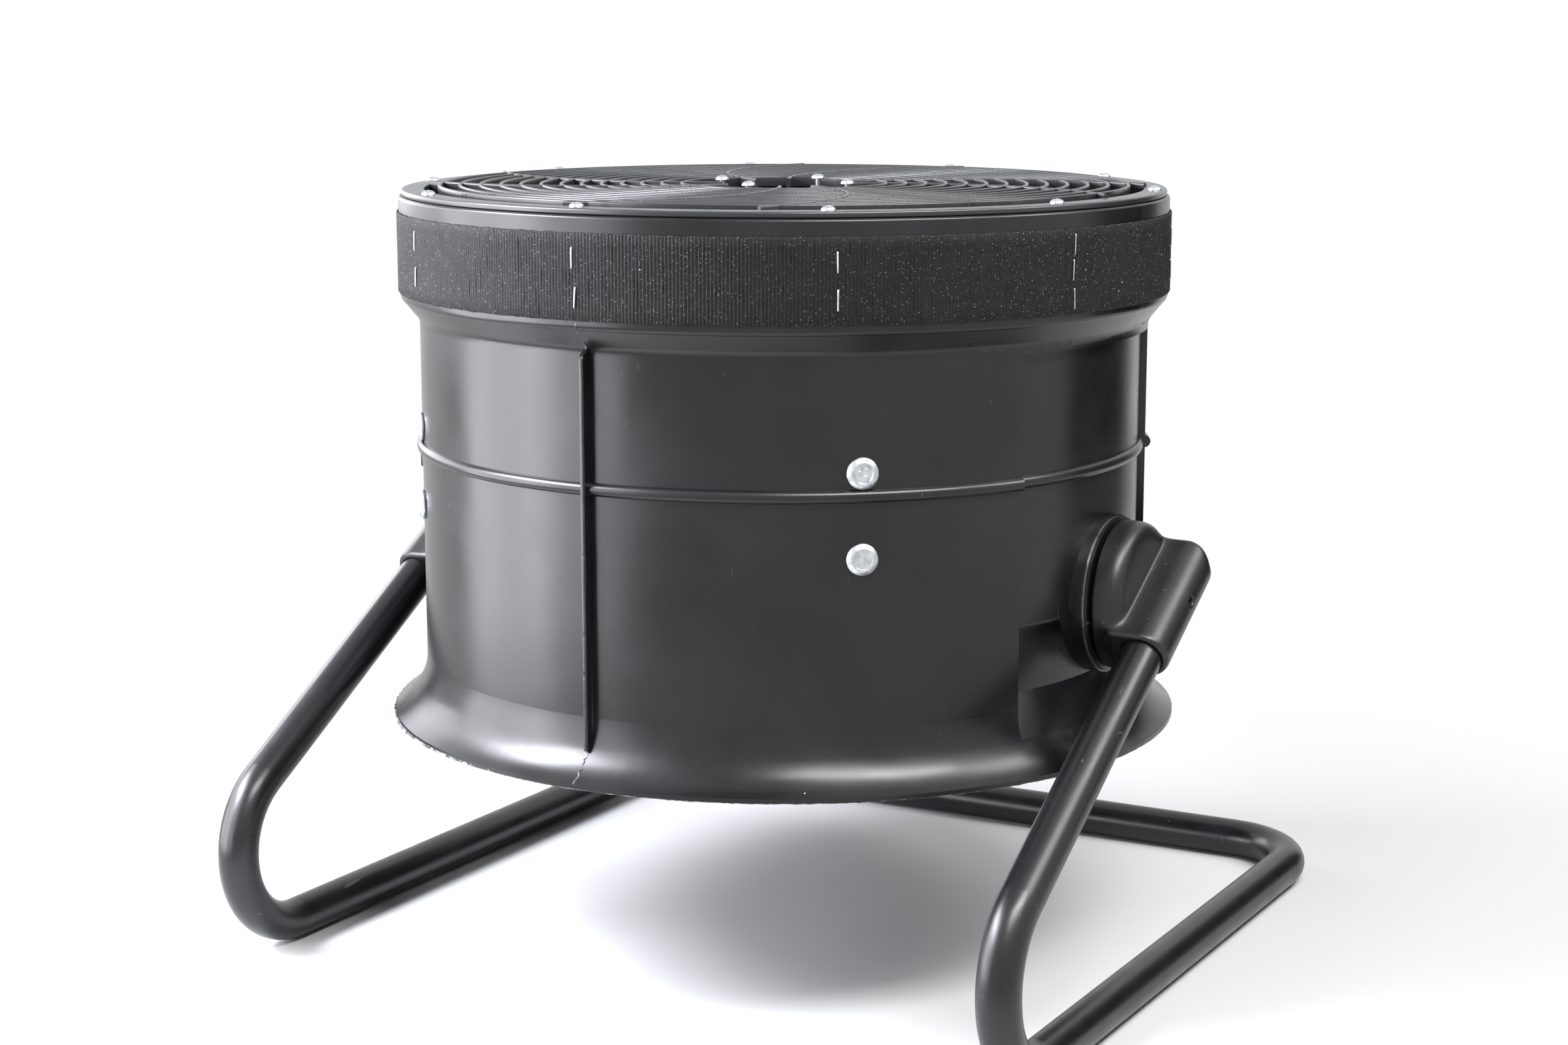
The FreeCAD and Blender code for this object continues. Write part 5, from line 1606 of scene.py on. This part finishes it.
@dataclass
class Fittings(Assembly):
    """What is bolted to the drum at the pivots: the plates, the nuts, the terminal box and its gland."""

    edge: float = 1.6
    gland_radius: float = 9.0
    gland_length: float = 13.0
    gland_ribs: int = 18

    def build(self) -> None:
        """Dress the plates and nuts, and build the box and the gland."""
        plate = Finishes.plate()
        for side in Side:
            self.dress([f"pivot_plate_{side.label}"], plate)
            self.dress([f"pivot_nut_{side.label}"], Finishes.zinc)
        self.dress(["strut_nuts"], Finishes.zinc)
        self.build_box()
        self.build_gland()

    def build_box(self) -> None:
        """Round the terminal box and its lid, and screw the lid down."""
        for node, edge in (("terminal_box", 0.8), ("terminal_lid", self.edge * 0.6)):
            piece = Bench.copy(node, f"moulded_{node}")
            Bench.modify(piece, "BEVEL", width=edge * MM, segments=3, limit_method="ANGLE",
                         angle_limit=math.radians(50), harden_normals=False)
            Bench.smooth(piece, 40)
            self.keep(piece, Body.DRUM, Finishes.drum, "drum_plastic", [node])
        low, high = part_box("terminal_lid")
        inset = 6.0 * MM
        shell = Shell()
        for along in (low.y + inset, high.y - inset):
            for height in (low.z + inset, high.z - inset):
                lie = Matrix.Rotation(-math.pi / 2, 4, "Y")
                place = Matrix.Translation((low.x + 0.4 * MM, along, height)) @ lie
                shell.add_turned([(0.0, -2.0), (1.4, -2.0), (1.4, 0.0), (2.6, 0.0), (2.3, 0.25), (1.6, 0.35),
                                  (0.5, 0.38), (0.0, 0.0)], 24, place)
        self.keep(shell.build("lid_screws"), Body.DRUM, Finishes.zinc, "zinc_steel")

    def build_gland(self) -> None:
        """Mould the gland's hexagon base and its ribbed dome nut, open for a cord."""
        low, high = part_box("cable_gland")
        middle = (low + high) / 2
        turn = Matrix.Rotation(-math.pi / 2, 4, "X")
        start = high.y / MM - self.gland_length
        place = Matrix.Translation((middle.x, 0, middle.z)) @ turn
        flats = (high.z - low.z) / MM / 2
        reach = flats / math.cos(math.pi / 6)
        shell = Shell()
        rows = []
        for radius, height in ((3.6, low.y / MM), (reach, low.y / MM), (reach, start - 0.8),
                               (reach - 1.0, start),
                               (3.6, start)):
            rows.append([place @ (Vector((radius * math.sin(step * math.pi / 3), radius * math.cos(
                step * math.pi / 3), height)) * MM) for step in range(6)])
        shell.add_rows(rows, ring=True)
        count = self.gland_ribs * 6
        rows = []
        for radius, height, ribbed in ((3.6, start, 0), (8.6, start, 0), (self.gland_radius, start + 0.8, 1),
                                       (self.gland_radius, start + 7.5, 1), (8.2, start + 10.2, 1),
                                       (6.4, start + 12.2, 0), (5.2, high.y / MM, 0), (3.6, high.y / MM, 0)):
            rows.append([])
            for step in range(count):
                angle = 2 * math.pi * step / count
                out = radius - 0.35 * ribbed * (1 + math.cos(angle * self.gland_ribs))
                rows[-1].append(place @ (Vector((out * math.cos(angle), out * math.sin(angle), height)) * MM))
        shell.add_rows(rows, ring=True)
        self.keep(shell.build("ribbed_gland", 40), Body.DRUM, Finishes.nylon,
                  "gland_plastic", ["cable_gland"])


@dataclass
class Motor(Assembly):
    """The motor, its struts and its capacitor inside the drum."""

    def build(self) -> None:
        """Dress the motor's parts."""
        self.dress(["motor_shell", "motor_bell_upper", "motor_bell_lower"], Finishes.motor)
        self.dress([f"motor_strut_{index}" for index in range(1, 5)], Finishes.sheet)
        self.dress(["stator_core", "rotor_core"], Finishes.core)
        self.dress(["stator_windings"], Finishes.copper)
        self.dress(["run_capacitor"], Finishes.capacitor)
        self.dress(["bearing_lower", "bearing_upper", "motor_shaft"], Finishes.zinc)


@dataclass
class Impeller(Assembly):
    """The fan on the motor's shaft, and its nut."""

    def build(self) -> None:
        """Dress the fan and its nut."""
        self.dress(["impeller"], Finishes.impeller)
        self.dress(["impeller_nut"], Finishes.zinc)


# ------------------------------------------------------------------------------------------ studio

@dataclass
class Softbox:
    """One soft lamp, aimed at the middle of the object."""

    name: str
    azimuth: float
    elevation: float
    distance: float
    size: tuple[float, float]
    glow: float
    tint: str = "#ffffff"

    def build(self, target: Vector) -> None:
        """Hang the lamp.

        Args:
            target: What it is aimed at, in metres.
        """
        turn, rise = math.radians(self.azimuth), math.radians(self.elevation)
        back = Vector((math.cos(turn) * math.cos(rise), math.sin(turn) * math.cos(rise), math.sin(rise)))
        lamp = bpy.data.lights.new(self.name, "AREA")
        lamp.shape = "RECTANGLE"
        lamp.size, lamp.size_y = self.size
        lamp.energy = self.glow * math.pi * self.size[0] * self.size[1]
        lamp.color = linear(self.tint)[:3]
        obj = bpy.data.objects.new(self.name, lamp)
        obj.location = target + back * self.distance
        obj.rotation_euler = (-back).to_track_quat("-Z", "Y").to_euler()
        obj.visible_camera = False
        bpy.context.scene.collection.objects.link(obj)


@dataclass
class Studio:
    """A pale floor, soft lamps, a white surround and the camera."""

    eye: tuple[float, float, float] = (0.8756, -1.6040, 0.6002)
    gaze: tuple[float, float] = (-0.4848, 0.8746)
    dip: float = 10.28
    lens: float = 64.2
    sensor: float = 36.0
    floor_colour: str = "#d2d2d2"
    floor_rings: tuple[float, float, float] = (0.4, 1.5, 6.0)
    floor_sides: int = 64
    floor_drop: float = 0.0004
    fade: tuple[float, float] = (0.40, 0.80)
    surround: float = 0.2
    flag_azimuth: float = 52.0
    flag_distance: float = 1.3
    flag_size: tuple[float, float] = (1.0, 0.9)

    def build(self) -> None:
        """Set the view, the floor, the lamps, the surround and the camera."""
        bpy.context.scene.view_settings.view_transform = "Standard"
        self.build_camera()
        self.build_floor()
        self.build_flag()
        self.build_surround()
        target = (CAD_BOX[0] + CAD_BOX[1]) / 2
        for lamp in (Softbox("left_softbox", -145, 12, 0.9, (0.6, 0.9), 6.6, "#f7f8ff"),
                     Softbox("high_left_softbox", -141, 35, 1.5, (0.9, 0.45), 32.0, "#f3f5ff"),
                     Softbox("front_left_fill", -122, 12, 1.0, (0.62, 0.9), 4.8, "#f7f8ff"),
                     Softbox("overhead_softbox", -30, 50, 1.7, (1.2, 0.4), 24.0),
                     Softbox("right_softbox", 20, 42, 1.6, (0.55, 0.45), 11.0),
                     Softbox("back_softbox", 166, 14, 1.9, (1.3, 0.7), 4.5, "#f7f8ff")):
            lamp.build(target)

    def build_camera(self) -> None:
        """Set up the camera."""
        dip = math.radians(self.dip)
        gaze = Vector((self.gaze[0] * math.cos(dip), self.gaze[1] * math.cos(dip), -math.sin(dip)))
        camera = bpy.data.cameras.new("camera")
        camera.lens = self.lens
        camera.sensor_width = self.sensor
        obj = bpy.data.objects.new("camera", camera)
        obj.location = self.eye
        obj.rotation_euler = gaze.to_track_quat("-Z", "Y").to_euler()
        bpy.context.scene.collection.objects.link(obj)
        bpy.context.scene.camera = obj

    def build_floor(self) -> None:
        """Lay a pale floor, which fades to plain white away from the object."""
        turns = [step * math.pi / (self.floor_sides / 2) for step in range(self.floor_sides)]
        rows = [[Vector((radius * math.cos(turn), radius * math.sin(turn), -self.floor_drop))
                 for turn in turns]
                for radius in self.floor_rings]
        floor = Shell().add_rows(rows)
        floor.faces.append(tuple(range(self.floor_sides)))
        floor = floor.build("studio_floor")
        material = bpy.data.materials.new("studio_floor")
        material.use_nodes = True
        tree = material.node_tree
        tree.nodes.clear()
        where = add_node(tree, "TexCoord").outputs["Object"]
        reach = add_node(tree, "VectorMath", {"operation": "LENGTH"}, {0: where}).outputs["Value"]
        away = add_node(tree, "MapRange", {"interpolation_type": "SMOOTHSTEP",
                                           1: self.fade[0], 2: self.fade[1]},
                        {0: reach}).outputs[0]
        pale = add_node(tree, "BsdfDiffuse", {"Color": linear(self.floor_colour)}).outputs[0]
        white = add_node(tree, "Emission", {"Strength": 1.0}).outputs[0]
        surface = add_node(tree, "MixShader", {}, {0: away, 1: pale, 2: white}).outputs[0]
        add_node(tree, "OutputMaterial", {}, {"Surface": surface})
        floor.data.materials.append(material)

    def build_flag(self) -> None:
        """Stand a dark card at the right, which only reflections show."""
        width, height = self.flag_size
        shell = Shell()
        turn = math.radians(self.flag_azimuth)
        out, along = Vector((math.cos(turn), math.sin(turn), 0)), Vector((-math.sin(turn), math.cos(turn), 0))
        rows = [[out * self.flag_distance + along * side * width / 2 + Vector((0, 0, top))
                 for side in (-1, 1)]
                for top in (0.02, height)]
        card = shell.add_rows(rows, loops=False).build("flag")
        material = bpy.data.materials.new("black_velvet")
        material.use_nodes = True
        tree = material.node_tree
        tree.nodes.clear()
        velvet = add_node(tree, "BsdfDiffuse", {"Color": linear("#050505")})
        add_node(tree, "OutputMaterial", {}, {"Surface": velvet.outputs[0]})
        card.data.materials.append(material)
        card.visible_camera = card.visible_diffuse = card.visible_shadow = False

    def build_surround(self) -> None:
        """Surround the scene with white that the camera and reflections see, and a softer fill light."""
        world = bpy.data.worlds.new("surround")
        world.use_nodes = True
        bpy.context.scene.world = world
        tree = world.node_tree
        tree.nodes.clear()
        rays = add_node(tree, "LightPath")
        seen = add_node(tree, "Math", {"operation": "MAXIMUM"},
                        {0: rays.outputs["Is Camera Ray"], 1: rays.outputs["Is Glossy Ray"]}).outputs[0]
        clear = add_node(tree, "Math", {"operation": "MAXIMUM"},
                         {0: seen, 1: rays.outputs["Is Transmission Ray"]}).outputs[0]
        strength = add_node(tree, "MapRange", {3: self.surround, 4: 1.0}, {0: clear}).outputs[0]
        glow = add_node(tree, "Background", {"Color": (1.0, 1.0, 1.0, 1.0)},
                        {"Strength": strength}).outputs[0]
        add_node(tree, "OutputWorld", {}, {"Surface": glow})


def main() -> None:
    """Build the studio and every sub-assembly."""
    logging.basicConfig(level=logging.INFO, format="%(message)s")
    Studio().build()
    for assembly in (Drum(), RimTape(), OutletGuard(), InletGuard(), PanScrews(), StrutBolts(), Stand(),
                     Fittings(), Motor(), Impeller()):
        LOG.info("building %s", type(assembly).__name__)
        assembly.build()


if __name__ == "__main__":
    main()
